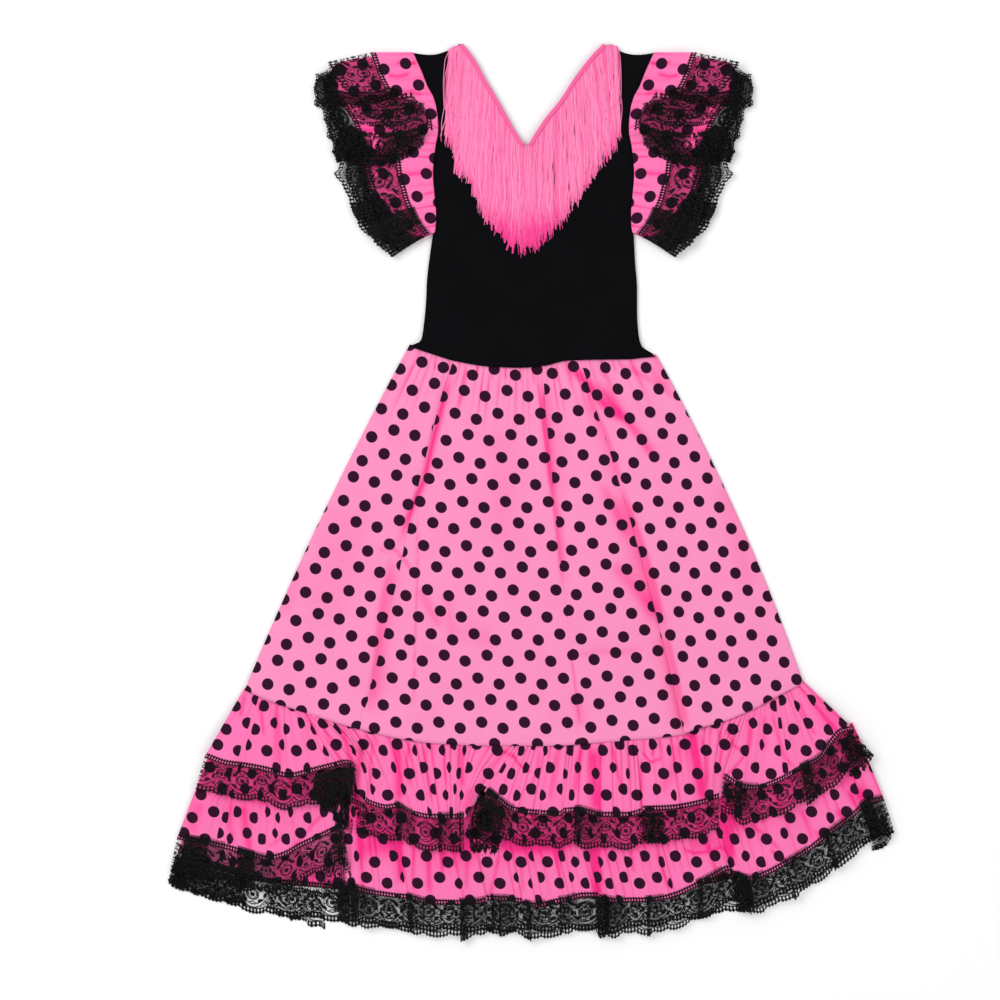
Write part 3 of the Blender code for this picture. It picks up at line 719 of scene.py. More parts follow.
gatherHidden *= dice.uniform(0, 1, gathers["unlike"]) < gathers["tucked"]

foldShape = {
    "fine": 16,  # mesh columns to a panel column in a fold
    "turn": 0.45,  # the part of its width that rises
    "begins": 0.12,  # how soon under the seam it stands, and how long it takes to end
    "ends": 0.2,
    "hangs": 1.3,  # how late it rises where it runs to the hem
}


class Panel:
    # a sheet ruled from a seam to a hem: the column counts along it and the share goes down
    def __init__(
        self, rows, seam, base, gather=0.0, wave=0.0, column=9.0,
        folds=(), seed=0, calm=(), reach=1.0, runOn=0.35,
    ):
        self.rows, self.seam, self.base = rows, seam, base
        self.gather, self.wave, self.seed = gather, wave, seed
        self.calm, self.reach, self.runOn = calm, reach, runOn
        self.run, hemRun = ("top", "x") if "top" in rows else ("arm", "y")
        wide = np.maximum(np.abs(np.diff(rows[self.run])), np.abs(np.diff(rows[hemRun])))
        cells = np.maximum(np.round(wide / column), 1)
        self.knots = np.concatenate([[0], np.cumsum(cells)])
        self.folds = [(self.rowOf(place), *rest) for place, *rest in folds]

    def rowOf(self, place):
        return int(np.argmin(np.abs(self.rows[self.run] - place)))

    def row(self, name, column):
        return smooth(self.knots, self.rows[name], column)

    def columnOf(self, place):
        # sleeves count down the arm, so np.interp needs them turned round
        run = self.rows[self.run]
        turn = 1 if run[-1] > run[0] else -1
        return np.interp(place, run[::turn], self.knots[::turn])

    def columns(self, fine, first=None, last=None):
        # places along the panel, closer together in its folds
        first = self.knots[0] if first is None else first
        last = self.knots[-1] if last is None else last
        places = list(np.arange(first, last, fine)) + [last]
        for row, *rest in self.folds:
            start, end = self.knots[row : row + 2]
            if start >= first and end <= last:
                places += list(np.linspace(start, end, int(foldShape["fine"] * (end - start))))
        return np.unique(np.round(places, 4))

    def ridges(self, column, share):
        # fine gathers, each with a depth and length of its own
        (slow, slowPace), (quick, quickPace) = gathers["uneven"]
        phase = gathers["pace"] * column + slow * np.sin(slowPace * column + self.seed)
        phase = phase + quick * np.sin(quickPace * column)
        number = np.floor(phase).astype(int)
        frac = phase - number
        pick = (number + 37 * self.seed) % gathers["unlike"]
        ridge = np.abs(np.sin(np.pi * phase)) ** gathers["sharp"]
        length = gatherLength[pick] * self.reach
        under, over = gathers["fade"]
        start = ease((share - under) / over)
        place = self.row(self.run, column)
        quiet = np.ones_like(column)
        for begin, end, keep in self.calm:
            within = ease((place - begin) / gathers["calmEdge"]) * ease((end - place) / gathers["calmEdge"])
            quiet = quiet * lerp(1, keep, within)
        full = gathers["full"]
        fade = start * (1 - ease((share - full * length) / ((1 - full) * length))) * quiet
        # cloth is hidden in the tucked ones, which run on to the hem as shallow gathers and as fine lines of
        # painted shade
        tucked = gatherHidden[pick] > 0
        before = gatherHidden[(pick - 1) % gathers["unlike"]] > 0
        sumHidden = np.concatenate([[0], np.cumsum(gatherHidden)])
        # some tuck it in at once and cut the dots, others over much of their side and squeeze them
        cutting, among = gathers["sorts"]
        part = np.where(pick % among < cutting, gathers["cut"], gathers["squeeze"])
        offset = sumHidden[pick] + gatherHidden[pick] * ease((frac - 1 + part) / part)

        def nearTucks(high, low):
            (highFrom, highWide), (lowFrom, lowWide) = high, low
            return tucked * ease((frac - highFrom) / highWide) + before * ease((lowFrom - frac) / lowWide)

        running = self.runOn * quiet * nearTucks(*gathers["onward"]) * start
        line = nearTucks(*gathers["line"]) * quiet**2 * (self.runOn > 0)
        return ridge, np.maximum(gatherDepth[pick] * fade, running), offset, line

    def at(self, column, share):
        topX, topY = self.seam(self, column)
        x = lerp(topX, self.row("x", column), share)
        y = lerp(topY, self.row("y", column), share)
        if "bow" in self.rows:
            x = x + self.row("bow", column) * 4 * share * (1 - share)
        rise = np.clip(share, 0, 1) ** foldShape["hangs"]
        lift = self.row("lift", column)
        for row, lean, *until in self.folds:
            start, end = self.knots[row : row + 2]
            low, high = self.rows["lift"][row : row + 2]
            t = np.clip((column - start) / (end - start), 0, 1)
            wide = foldShape["turn"]
            turn = ease(t / wide) if lean > 0 else ease((t - 1 + wide) / wide)
            lift = np.where((t > 0) & (t < 1), lerp(low, high, turn), lift)
            # some fade out before the hem
            begun = ease(share / foldShape["begins"])
            reach = begun * ease((until[0] - share) / foldShape["ends"]) if until else rise
            x = x - lean * np.sin(np.pi * t) * reach
        ridge, deep = self.ridges(column, share)[:2]
        look = gathers["broad"]
        drift = look["drift"] * np.sin(look["pace"] * column)
        broad = np.sin(np.pi * column / look["columns"] + drift) ** 2
        z = self.base(share) + lift * rise + self.gather * ridge * deep
        z = z + self.wave * broad * ease(share)
        return np.stack([x, y, z], axis=-1)

    def laceAt(self, column, past):
        # carried on past the hem by so many millimetres
        hem = self.at(column, np.ones_like(past))
        top = self.at(column, np.zeros_like(past))
        depth = np.hypot(hem[..., 0] - top[..., 0], hem[..., 1] - top[..., 1])
        inside = self.at(column, 1 + np.minimum(past, 0) / depth)
        if "edge_x" in self.rows:
            reach = np.stack([self.row("edge_x", column), self.row("edge_y", column)], axis=-1)
            step = (reach - hem[..., :2]) / lace["drop"]
        else:
            lean = self.row("fan", column) / lace["drop"]
            step = np.stack([lean, -np.sqrt(1 - lean**2)], axis=-1)
        outside = np.maximum(past, 0)[..., None] * step
        return np.concatenate([inside[..., :2] + outside, inside[..., 2:]], axis=-1)


# how high everything laid so far stands, on a grid of small squares
pile = {
    "square": 2.0,
    "corner": (-390.0, -470.0),
    "height": np.zeros((390, 470)),
    "fall": 1.3,  # how far loose cloth can drop from one square to the next
    "spread": 8,  # squares
}


def squares(points):
    spots = ((points[..., :2] - pile["corner"]) / pile["square"]).astype(int)
    across, up = pile["height"].shape
    return np.clip(spots[..., 0], 0, across - 1), np.clip(spots[..., 1], 0, up - 1)


def heap(points):
    np.maximum.at(pile["height"], squares(points), points[..., 2])


def topOf(points):
    # the height there, with slopes that cloth can follow
    high = pile["height"].copy()
    for _ in range(pile["spread"]):
        near = high.copy()
        for axis in (0, 1):
            for way in (-1, 1):
                near = np.maximum(near, np.roll(high, way, axis) - pile["fall"])
        high = near
    return high[squares(points)]


def flipped(points):
    # on the other sleeve
    return points * (-1, 1, 1) + (2 * mirrorX, 0, 0)


def finishPiece(name, mesh, node, material):
    made = bpy.data.objects.new(name, mesh)
    bpy.context.scene.collection.objects.link(made)
    made.data.materials.append(material)
    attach(made, "root")
    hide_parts(node)
    return made


def meshOf(name, points, corners, uv, values):
    mesh = bpy.data.meshes.new(name)
    flat = points.reshape(-1, 3)
    mesh.vertices.add(len(flat))
    mesh.vertices.foreach_set("co", (flat * mm).ravel())
    mesh.loops.add(corners.size)
    mesh.loops.foreach_set("vertex_index", corners.ravel())
    mesh.polygons.add(len(corners))
    mesh.polygons.foreach_set("loop_start", np.arange(len(corners)) * corners.shape[1])
    mesh.update(calc_edges=True)
    layer = mesh.uv_layers.new(name="cloth")
    layer.uv.foreach_set("vector", uv.reshape(-1, 2)[corners.ravel()].ravel())
    for key, value in values.items():
        stored = mesh.attributes.new(key, "FLOAT", "POINT")
        stored.data.foreach_set("value", value.ravel())
    mesh.shade_smooth()
    return mesh


def gridCorners(points):
    tall, wide = points.shape[:2]
    index = np.arange(tall * wide).reshape(tall, wide)
    return np.stack([index[:-1, :-1], index[1:, :-1], index[1:, 1:], index[:-1, 1:]], axis=-1)


def gridMesh(name, points, uv, values, mirror=False):
    corners = gridCorners(points).reshape(-1, 4)
    if mirror:
        points = flipped(points)
        corners = corners[:, ::-1]
    heap(points)
    return meshOf(name, points, corners, uv, values)


def joined(name, meshes):
    whole = bmesh.new()
    for mesh in meshes:
        whole.from_mesh(mesh)
    mesh = bpy.data.meshes.new(name)
    whole.to_mesh(mesh)
    whole.free()
    for old in meshes:
        bpy.data.meshes.remove(old)
    mesh.shade_smooth()
    return mesh


def thicken(made, thickness):
    shell = made.modifiers.new("shell", "SOLIDIFY")
    shell.thickness = thickness * mm
    shell.offset = 1


creases = {
    "sink": 0.9,  # millimetres that a drawn line sinks, and how much deeper its painted shade pink is
    "drawn": 1.3,
    "seam": (0.7, 0.06),  # painted shade: deeper pink close under the seam, and the share of the depth it fades over
    "line": (0.45, 20),  # the same painted shade along the fine lines that tucked gathers leave, and how soon it starts
    "shadeUnderCloth": ((0.6, 0.12), (0.4, 0.4)),  # how the painted shade under other cloth ends: parts, and the depths they fade over
}


def clothPiece(
    name, node, panel, material, flat=None, area=None, fine=0.15, rows=42,
    marks=(), shades=(), shadeUnderCloth=(0.0, 0.0), uvOf=None, mirror=False,
):
    column, share = np.meshgrid(panel.columns(fine), np.linspace(0, 1, rows))
    points = panel.at(column, share)
    ridge, deep, offset, line = panel.ridges(column, share)
    x, y = points[..., 0], points[..., 1]
    # the drawn lines sink the cloth a little and are painted a deeper pink, a painted shade
    shade = streaks(x, y, shades)
    points[..., 2] += clothLift + stroke(x, y, marks) - creases["sink"] * shade
    gathered = min(panel.gather, 1.0)
    (atSeam, seamDeep), (atLine, lineFast) = creases["seam"], creases["line"]
    # painted shade: deeper pink in the valleys of the gathers, close under the seam and along fine lines
    creaseShade = (1 - ridge) ** 2 * (deep + atSeam * np.exp(-share / seamDeep))
    creaseShade = creaseShade + atLine * line * ease(share * lineFast)
    # painted shade: the cloth is painted a deeper pink where other cloth hangs over it
    strength, until = shadeUnderCloth
    (most, mostDeep), (rest, restDeep) = creases["shadeUnderCloth"]
    past = share - until
    under = strength * (1 - most * ease(past / mostDeep) - rest * ease(past / restDeep))
    # the fold attribute holds all of this painted shade
    fold = np.clip(creaseShade * gathered + under + creases["drawn"] * shade, 0, 1)
    uv = uvOf(column, points) if uvOf else np.stack([x + offset * gathered, y], axis=-1)
    made = finishPiece(name, gridMesh(name, points, uv, {"fold": fold}, mirror), node, material)
    thicken(made, clothThick)
    if not flat:
        # a strip as wide as the hem and as long as the ruffle is at its middle
        length = np.linalg.norm(points[-1] - points[0], axis=-1)
        flat = (arcLength(points[-1])[-1] * mm, np.mean(length) * mm)
    return made


def scallopEdge(u):
    # how far the lace reaches at each place along it
    edge = np.full_like(u, lace["drop"])
    half = lace["repeat"] / 2
    for middle, wide, depth in lace["scallops"]:
        away = np.abs((u - middle + half) % lace["repeat"] - half) / wide
        edge += depth * np.sqrt(np.clip(1 - away**2, 0, 1))
    return edge


def pleated(column, pleats):
    # the order in which lace runs along its hem: on to the end of a pleat, back, and on again
    order, layer = [], []
    for start, end in pleats:
        onward = column[column < end]
        back = column[(column > start) & (column < end)][::-1]
        column = column[column > start]
        rest = np.clip((column - end) / 2.0, 0, 1)
        over = rest < 1
        order += [onward, back, column[over]]
        layer += [np.zeros(len(onward)), np.ones(len(back)), 2.0 * (1 - ease(rest[over]))]
        column = column[~over]
    return np.concatenate([*order, column]), np.concatenate([*layer, np.zeros(len(column))])


def alongLace(u, past):
    return np.stack([np.broadcast_to(u[None, :], past.shape), past], axis=-1)


laceHang = {
    "rows": 21,
    "settle": 0.6,  # how far it drops, and over how many millimetres past the hem
    "settled": 12,
    "ripple": 0.35,  # height of its ripples, and the millimetres over which they grow
    "rippled": 20,
    "paces": (0.55, 2, 0.09),  # of the ripples: their own, and the strength and pace of their drift
    "layer": 0.35,  # height of each layer of a pleat
    "slip": (0.9, 0.21),  # how far a layer slips past the one below, and the pace it varies at
    "matted": 0.6,  # how dark a pleat is
    "crowd": (0.3, 23),  # how much the crowding varies, and over how many millimetres
    "open": (0.3, 3, 8),  # how dark the loops stay, how far from the edge, and the width it ends in
}


def lacePiece(
    name, node, panel, pleats=(), first=None, last=None, fine=0.15,
    shift=0.0, crowded=0.0, through=0.0, short=0.0, mirror=False,
):
    column = panel.columns(fine, first, last)
    # pleats are given by their seam places
    inside = sorted(np.sort(panel.columnOf(pleat)).tolist() for pleat in pleats)
    inside = [pleat for pleat in inside if column[0] < pleat[0] and pleat[1] < column[-1]]
    column, layer = pleated(column, inside)
    hem = panel.at(column, np.ones_like(column))
    u = arcLength(hem) + shift
    t = np.linspace(0, 1, laceHang["rows"])[:, None]
    edge = scallopEdge(u)[None, :] - short
    past = lerp(lace["top"], edge, t)
    points = panel.laceAt(np.broadcast_to(column[None, :], past.shape), past)
    pace, drift, driftPace = laceHang["paces"]
    ripple = laceHang["ripple"] * np.sin(u * pace + drift * np.sin(u * driftPace))
    drop = laceHang["settle"] * ease(past / laceHang["settled"])
    ripple = ripple * ease(past / laceHang["rippled"])
    points[..., 2] += wall - drop + ripple + laceHang["layer"] * layer
    slip, slipPace = laceHang["slip"]
    points[..., 1] -= slip * layer * ease(t) * (1 + np.sin(u * slipPace))
    vary, long = laceHang["crowd"]
    matted = np.maximum((layer > 0) * laceHang["matted"], crowded * (1 + vary * np.sin(u / long)))
    # even where it is crowded the loops of the edge stand open
    dark, begin, wide = laceHang["open"]
    dense = matted * (dark + (1 - dark) * ease((edge - past - begin) / wide))
    values = {"left": edge - past, "dense": dense, "through": np.full(past.shape, through)}
    mesh = gridMesh(name, points, alongLace(u, past), values, mirror)
    made = finishPiece(name, mesh, node, blackLace)
    (u[-1] - u[0]) * mm
    (lace["wide"] - short) * mm
    return made


laceHeap = {
    "rows": 20,
    "columns": 1.2,  # to a millimetre of the edge
    "rise": 0.5,  # over what it lies on
    "fold": 0.7,  # height of its folds, and their pace with the strength and pace of its drift
    "foldPaces": (0.8, 2.0, 0.13),
    "sway": (1.6, 1.2),
    "swayPaces": (0.31, 1.9),  # along the lace, and from layer to layer
    "start": (13.0, 7.0),  # how far along its pattern each layer and each bunch starts
    "layer": 0.3,  # height of each layer over the one below, and how far it lies to the side
    "aside": (1.4, -1.1),
}


def laceFold(name, node, header, edge, layers, dense, seed, fullness=1.2, mirror=False):
    # loose lace heaped in folds between two given lines
    count = int(arcLength(np.array(edge, float))[-1] * laceHeap["columns"]) + 12
    top, low = curveThrough(header, count), curveThrough(edge, count)
    sheets = []
    swayPace, layerPace = laceHeap["swayPaces"]
    foldPace, drift, driftPace = laceHeap["foldPaces"]
    layerStart, bunchStart = laceHeap["start"]
    for layer in range(layers):
        u = arcLength(low) * fullness + layerStart * layer + bunchStart * seed
        reach = scallopEdge(u)[None, :]
        past = lerp(lace["top"], reach, np.linspace(0, 1, laceHeap["rows"])[:, None])
        share = ((past - lace["top"]) / (lace["drop"] - lace["top"]))[..., None]
        sway = np.sin(u * swayPace + layer * layerPace + seed)[None, :, None] * share * laceHeap["sway"]
        flat = lerp(top[None], low[None], share) + sway + np.array(laceHeap["aside"]) * layer * share
        points = np.concatenate([flat, np.zeros_like(share)], axis=-1)
        folds = laceHeap["fold"] * np.sin(u * foldPace + drift * np.sin(u * driftPace + seed))
        folds = folds * ease(share[..., 0] * 2)
        under = topOf(flipped(points) if mirror else points)
        points[..., 2] = under + laceHeap["rise"] + folds + laceHeap["layer"] * layer
        values = {"left": reach - past, "dense": np.full(past.shape, dense)}
        sheets.append(gridMesh(f"{name}{layer}", points, alongLace(u, past), values, mirror))
    made = finishPiece(name, joined(name, sheets), node, blackLace)
    # the strip doubles back, so it is as long as all its layers
    strip = np.mean([arcLength(top)[-1], arcLength(low)[-1]]) * layers
    strip * mm
    return made


print("tables ready")


# the skirt's print, a little shifted by each long fold: the dot at the start of each part's
# lattice and the steps to the next ones, across and down
skirtPrint = (
    ((-15.2, 43.6), (43.2, 1.5), (2.7, -45.1)),
    ((-27.3, 35.5), (42.8, -0.1), (3.8, -44.1)),
    ((-30.6, 34.3), (42.3, 1.9), (4.8, -44.2)),
    ((-37.8, 36.3), (40.7, 0.0), (4.0, -44.5)),
)
skirtParts = (-75.5, 13.5, 50.0)  # seam places of the folds between them
skirtCreases = (
    # x0 y0 x1 y1, half width, height
    (-86, 118, -124, -20, 5.0, 1.2), (-208, -20, -232, -160, 14.0, 1.2), (-150, 60, -190, -60, 12.0, 1.1),
    (-30, 100, -60, -60, 18.0, 1.0), (-20, -40, -35, -235, 20.0, 0.9), (60, -20, 85, -220, 18.0, 1.0),
    (150, 40, 190, -90, 16.0, 1.2), (186, -40, 232, -180, 14.0, 1.1), (74, 112, 112, 60, 6.0, 1.0),
)
# painted shade, with the cloth sunk a little along each line: deeper pink where the cloth turns down into a
# fold: width, strength and points
skirtShades = (
    (
        (3, 4), 0.75, (-74, 127), (-81, 108), (-86, 91), (-96, 53), (-105, 13), (-114, -7),
        (-120, -22), (-129, -47), (-134, -58),
    ),
    ((1.5, 3), 0.5, (-62, 129), (-67, 103), (-72, 81)),
    ((3, 10), 0.42, (-137, -55), (-141, -82), (-148, -117), (-152, -157), (-157, -197), (-163, -229)),
    (1.2, 0.35, (-112, -7), (-111, -67), (-113, -127), (-115, -187), (-117, -229)),
    (2, 0.4, (-155, -56), (-133, -57), (-121, -72), (-111, -87)),
    (5, 0.3, (-111, -92), (-99, -117), (-87, -137)),
    (25, 0.1, (-179, -7), (-189, -67), (-211, -127)),
    (8, 0.15, (-229, -67), (-247, -127)),
    (10, 0.12, (-79, -147), (-59, -137), (-29, -157)),
    (6, 0.18, (-83, -97), (-77, -147)),
    ((1.5, 6), 0.5, (9, 127), (12, 82), (16, 53), (20, 18), (25, -17), (29, -52), (34, -107)),
    (1.5, 0.35, (41, -157), (45, -182), (48, -207), (51, -234)),
    ((3, 14), 0.2, (12, 113), (17, 53), (23, -7)),
    ((5, 6), 0.7, (33, 131), (47, 121), (59, 108), (71, 93), (83, 80), (99, 69)),
    ((4, 6), 0.55, (64, 113), (76, 101), (91, 80), (108, 59), (121, 41), (131, 25)),
    ((9, 2), 0.35, (54, 109), (67, 82), (78, 58), (87, 31), (95, 3)),
    ((16, 2.5), 0.5, (91, 13), (105, -27), (114, -52), (123, -82), (132, -117), (139, -145)),
    ((12, 2.5), 0.42, (135, -132), (145, -172), (150, -197), (155, -219), (160, -242)),
    (7, 0.35, (81, -67), (99, -87), (116, -107), (129, -127)),
    (5, 0.3, (71, 13), (86, -17), (99, -47)),
    (10, 0.15, (191, 13), (209, -47), (223, -107)),
    (6, 0.2, (171, 73), (193, 28)),
    (3, 0.22, (42, -162), (71, -158), (96, -159), (119, -153)),
    (6, 0.2, (46, -197), (54, -237)),
    (14, 0.12, (-29, 73), (-24, -7), (-31, -67)),
    (3, 0.3, (87, 131), (113, 118), (130, 108), (149, 91)),
    (3, 0.3, (111, 133), (126, 119), (139, 101)),
    (1.2, 0.5, (-93, 139), (-95, 121)),
    (1.2, 0.4, (-79, 135), (-80, 119)),
    (1.2, 0.5, (-51, 131), (-52, 115)),
    (1.2, 0.4, (-37, 129), (-37, 112)),
    (1.2, 0.5, (-24, 128), (-23, 113)),
    (1.2, 0.4, (-9, 127), (-8, 109)),
    (1.2, 0.5, (4, 127), (5, 108)),
    (1.2, 0.4, (27, 128), (28, 109)),
    (1.2, 0.5, (71, 134), (75, 115)),
    (1.2, 0.4, (83, 135), (87, 120)),
    (1.2, 0.5, (101, 137), (107, 123)),
)
# painted shade on the upper flounce, in the same form
upperShades = (
    (2, 0.5, (-272, -204), (-267, -223), (-264, -245)),
    (2, 0.5, (-283, -201), (-289, -225)),
    ((4, 2), 0.4, (-253, -210), (-249, -237), (-248, -285)),
    (1.5, 0.6, (-226, -215), (-217, -231), (-210, -245)),
    (2, 0.5, (-209, -227), (-196, -252), (-182, -275)),
    (3, 0.6, (-188, -231), (-182, -252), (-175, -277)),
    ((4, 3), 0.55, (-163, -238), (-169, -267), (-172, -305)),
    (2, 0.45, (-155, -240), (-158, -272), (-159, -301)),
    ((5, 4), 0.7, (-133, -246), (-130, -272), (-129, -313)),
    (2, 0.5, (-119, -247), (-122, -267), (-118, -295)),
    (2, 0.45, (-105, -247), (-102, -277), (-96, -312)),
    (2, 0.4, (-83, -249), (-85, -272), (-82, -295)),
    (3, 0.5, (-64, -250), (-68, -269), (-66, -297)),
    ((6, 4), 0.35, (-57, -292), (-63, -319)),
    (2, 0.5, (-33, -254), (-24, -259), (-13, -265)),
    (1.5, 0.7, (-18, -257), (-13, -267), (-6, -275), (4, -278)),
    (2, 0.4, (11, -253), (8, -277), (-1, -302)),
    (2, 0.4, (27, -254), (24, -282), (20, -311)),
    (3, 0.5, (54, -251), (49, -267), (45, -302)),
    ((6, 5), 0.75, (65, -249), (65, -282), (68, -323)),
    (2, 0.5, (83, -250), (87, -272), (94, -301)),
    (1.5, 0.6, (112, -262), (112, -292), (112, -319)),
    (1.5, 0.7, (112, -257), (121, -269), (134, -264)),
    (1.5, 0.6, (127, -250), (122, -264)),
    (6, 0.3, (129, -302), (143, -277), (153, -245)),
    ((7, 4), 0.95, (160, -229), (166, -257), (171, -282), (176, -313)),
    (2, 0.5, (170, -237), (177, -267), (178, -297)),
    (2, 0.5, (187, -229), (193, -252), (187, -287)),
    (2, 0.55, (197, -234), (204, -252), (218, -261)),
    (1.5, 0.7, (217, -259), (206, -272), (191, -287)),
    (3, 0.5, (221, -221), (220, -242), (217, -263)),
    (2, 0.45, (242, -215), (248, -242), (255, -264), (270, -279)),
    (4, 0.3, (236, -219), (233, -262)),
    (10, 0.35, (284, -199), (299, -222), (311, -239)),
    (2, 0.5, (268, -204), (277, -227), (288, -245)),
    (4, 0.35, (297, -204), (319, -233)),
)
# painted shade on the lower flounce
lowerShades = (
    (6, 0.35, (-328, -307), (-338, -342)),
    (3, 0.4, (-297, -304), (-299, -332), (-294, -355)),
    ((5, 4), 0.55, (-285, -307), (-283, -332), (-278, -361)),
    (2, 0.5, (-241, -359), (-227, -345), (-217, -332), (-202, -317)),
    (2, 0.35, (-261, -354), (-242, -340)),
    (12, 0.5, (-177, -357), (-157, -352), (-139, -352), (-126, -357)),
    ((4, 3), 0.9, (-130, -341), (-129, -362), (-127, -393)),
    (2, 0.5, (-114, -345), (-116, -377), (-115, -401)),
    (3, 0.6, (-101, -348), (-100, -377), (-99, -404)),
    (2, 0.4, (-86, -354), (-88, -387)),
    (12, 0.35, (-94, -367), (-59, -357), (-49, -355)),
    (2, 0.45, (-61, -360), (-63, -397)),
    (2, 0.5, (-29, -357), (-34, -382), (-40, -406)),
    (10, 0.4, (-34, -353), (11, -353), (46, -355)),
    (2, 0.4, (-9, -362), (-5, -401)),
    (2, 0.5, (26, -353), (31, -382), (32, -401)),
    ((6, 5), 0.9, (65, -343), (67, -372), (69, -407)),
    (2, 0.4, (101, -354), (105, -381)),
    (2, 0.5, (127, -357), (135, -382), (142, -399)),
    ((12, 10), 0.35, (156, -353), (186, -349), (199, -357)),
    (1.5, 0.6, (151, -354), (165, -360), (183, -357), (195, -352)),
    (1.5, 0.6, (192, -352), (201, -362), (207, -374)),
    ((6, 4), 0.8, (198, -302), (199, -337), (203, -373)),
    (2, 0.5, (220, -330), (237, -342), (253, -359)),
    (2, 0.45, (239, -355), (258, -369)),
    (3, 0.4, (270, -313), (279, -332), (284, -351)),
    (2, 0.5, (284, -334), (293, -349), (301, -360)),
    (8, 0.5, (323, -294), (339, -309), (354, -326)),
    (2, 0.6, (317, -294), (326, -312), (339, -325)),
    (3, 0.5, (304, -314), (316, -329), (323, -343)),
    (8, 0.35, (313, -279), (329, -297), (339, -310)),
    (4, 0.4, (-348, -323), (-354, -345)),
)


def skirtUv(column, points):
    uv = np.zeros(points.shape[:2] + (2,))
    part = np.zeros(points.shape[:2], int)
    for place in skirtParts:
        part += column > skirtFront.columnOf(place)
    base = np.array([(cotton["cell"][0], 0), (cotton["drift"], -cotton["cell"][1])])
    for number, (start, across, down) in enumerate(skirtPrint):
        steps = (points[..., :2] - start) @ np.linalg.inv(np.array([across, down]))
        placed = steps @ base + cotton["start"]
        uv = np.where((part == number)[..., None], placed, uv)
    return uv


def panelFrom(rows, seam, look):
    return Panel(rows, seam, slope(*look["lies"]), **look["panel"])


# for each piece: how high it lies at its seam and its hem, and from which share of its depth to
# which it rises or falls; how its panel is gathered and folded; and how its cloth is cut
skirtFrontLook = {
    "lies": (onBack, lapped, 0.88),
    "panel": {
        "gather": 1.5, "column": 17, "reach": 0.16, "runOn": 0.0, "seed": 1,
        "folds": ((-77, 3.0, 0.62), (12, 1.6, 0.7), (49, -4.0)),  # place, lean, where it ends
    },
    "cloth": {
        "flat": (0.56, 0.38), "area": 0.165, "fine": 0.18, "rows": 104,
        "marks": skirtCreases, "shades": skirtShades, "uvOf": skirtUv,
    },
}
skirtBackLook = {
    "lies": (0, 0),
    "panel": {"gather": 0.6, "column": 17, "reach": 0.25, "runOn": 0.0, "seed": 5},
    "cloth": {"flat": (0.56, 0.38), "area": 0.165, "fine": 0.25, "rows": 40},
}
skirtFront = panelFrom(skirtRows, along(waist, -2.5), skirtFrontLook)
flatRows = {**skirtRows, "lift": 0 * skirtRows["lift"]}  # the back has no raised folds
skirtBack = panelFrom(flatRows, along(waist), skirtBackLook)
clothPiece("skirtFrontCloth", "skirt_front", skirtFront, pinkCotton, **skirtFrontLook["cloth"])
clothPiece("skirtBackCloth", "skirt_back", skirtBack, pinkCotton, **skirtBackLook["cloth"])
print("skirt laid")

upperLook = {
    "lies": (onBack, 7.0, 0, 0.74),
    "panel": {
        "gather": 3.4, "wave": 1.8, "seed": 2,
        "folds": ((-222, 4.0), (-17, -3.5), (106, -2.5), (213, -4.0)),
        "calm": ((-300, -226, 0.4), (216, 262, 0.45)),  # from, to, how much of the gathers is left
    },
    "cloth": {"flat": (0.66, 0.085), "shades": upperShades},
}
lowerLook = {
    "lies": (2 * onBack, onBack, 0.6, 0.9),
    "panel": {
        "gather": 3.0, "wave": 2.0, "seed": 3,
        "folds": ((-189, 4.5), (-63, 2.5), (-29, -2.5), (45, 3.0), (176, -4.0)),
        "calm": ((-330, -200, 0.5), (182, 280, 0.6)),
    },
    # painted shade: deeper pink under the upper flounce and its lace, and along drawn lines
    "cloth": {"flat": (0.74, 0.10), "shadeUnderCloth": (0.75, 0.4), "shades": lowerShades},
}
upperBackLook = {
    "lies": (0, 0),
    "panel": {"gather": 0.8, "seed": 6},
    "cloth": {"flat": (0.64, 0.065), "fine": 0.25, "rows": 20},
}
lowerBackLook = {
    "lies": (onBack, 0, 0.6, 0.85),
    "panel": {"gather": 0.8, "seed": 7},
    "cloth": {
        "flat": (0.70, 0.10), "fine": 0.25, "rows": 24,
        # painted shade: a deep pink patch on the left of this flounce
        "shades": ((30, 0.5, (-262, -368), (-240, -378), (-200, -390), (-180, -394)),),
    },
}
upper = panelFrom(upperFront, along(skirtSeam, -2.5), upperLook)
lower = panelFrom(lowerFront, along(flounceSeam), lowerLook)
upperRear = panelFrom(upperBack, along(skirtSeam, 1.2), upperBackLook)
lowerRear = panelFrom(lowerBack, along(flounceSeam), lowerBackLook)
clothPiece("upperFlounceFront", "upper_flounce_front", upper, flounceShadedCotton, **upperLook["cloth"])
clothPiece("lowerFlounceFront", "lower_flounce_front", lower, flounceShadedCotton, **lowerLook["cloth"])
clothPiece("upperFlounceBack", "upper_flounce_back", upperRear, flounceShadedCotton, **upperBackLook["cloth"])
clothPiece("lowerFlounceBack", "lower_flounce_back", lowerRear, flounceShadedCotton, **lowerBackLook["cloth"])
print("flounces laid")

# where the lace doubles over itself, by its places on the seam
upperPleats = ((-166, -157), (-102, -94), (-56, -46), (-11, -4), (50, 56), (222, 227), (252, 256))
lowerPleats = (
    (-312, -296), (-280, -268), (-205, -194), (-184, -176), (-138, -133), (-92, -84),
    (-58, -53), (-24, -18), (6, 10), (50, 57), (92, 96), (142, 148), (183, 192), (226, 230),
    (266, 272), (302, 314),
)
hemLace = {
    "upperFront": {"pleats": upperPleats, "through": 0.09},
    "lowerFront": {"pleats": lowerPleats, "crowded": 0.3, "through": 0.03},
    "upperBack": {"fine": 0.25, "shift": 11, "through": 0.06},
    "lowerBack": {"pleats": lowerPleats[::3], "fine": 0.25, "shift": 17, "crowded": 0.2},
}


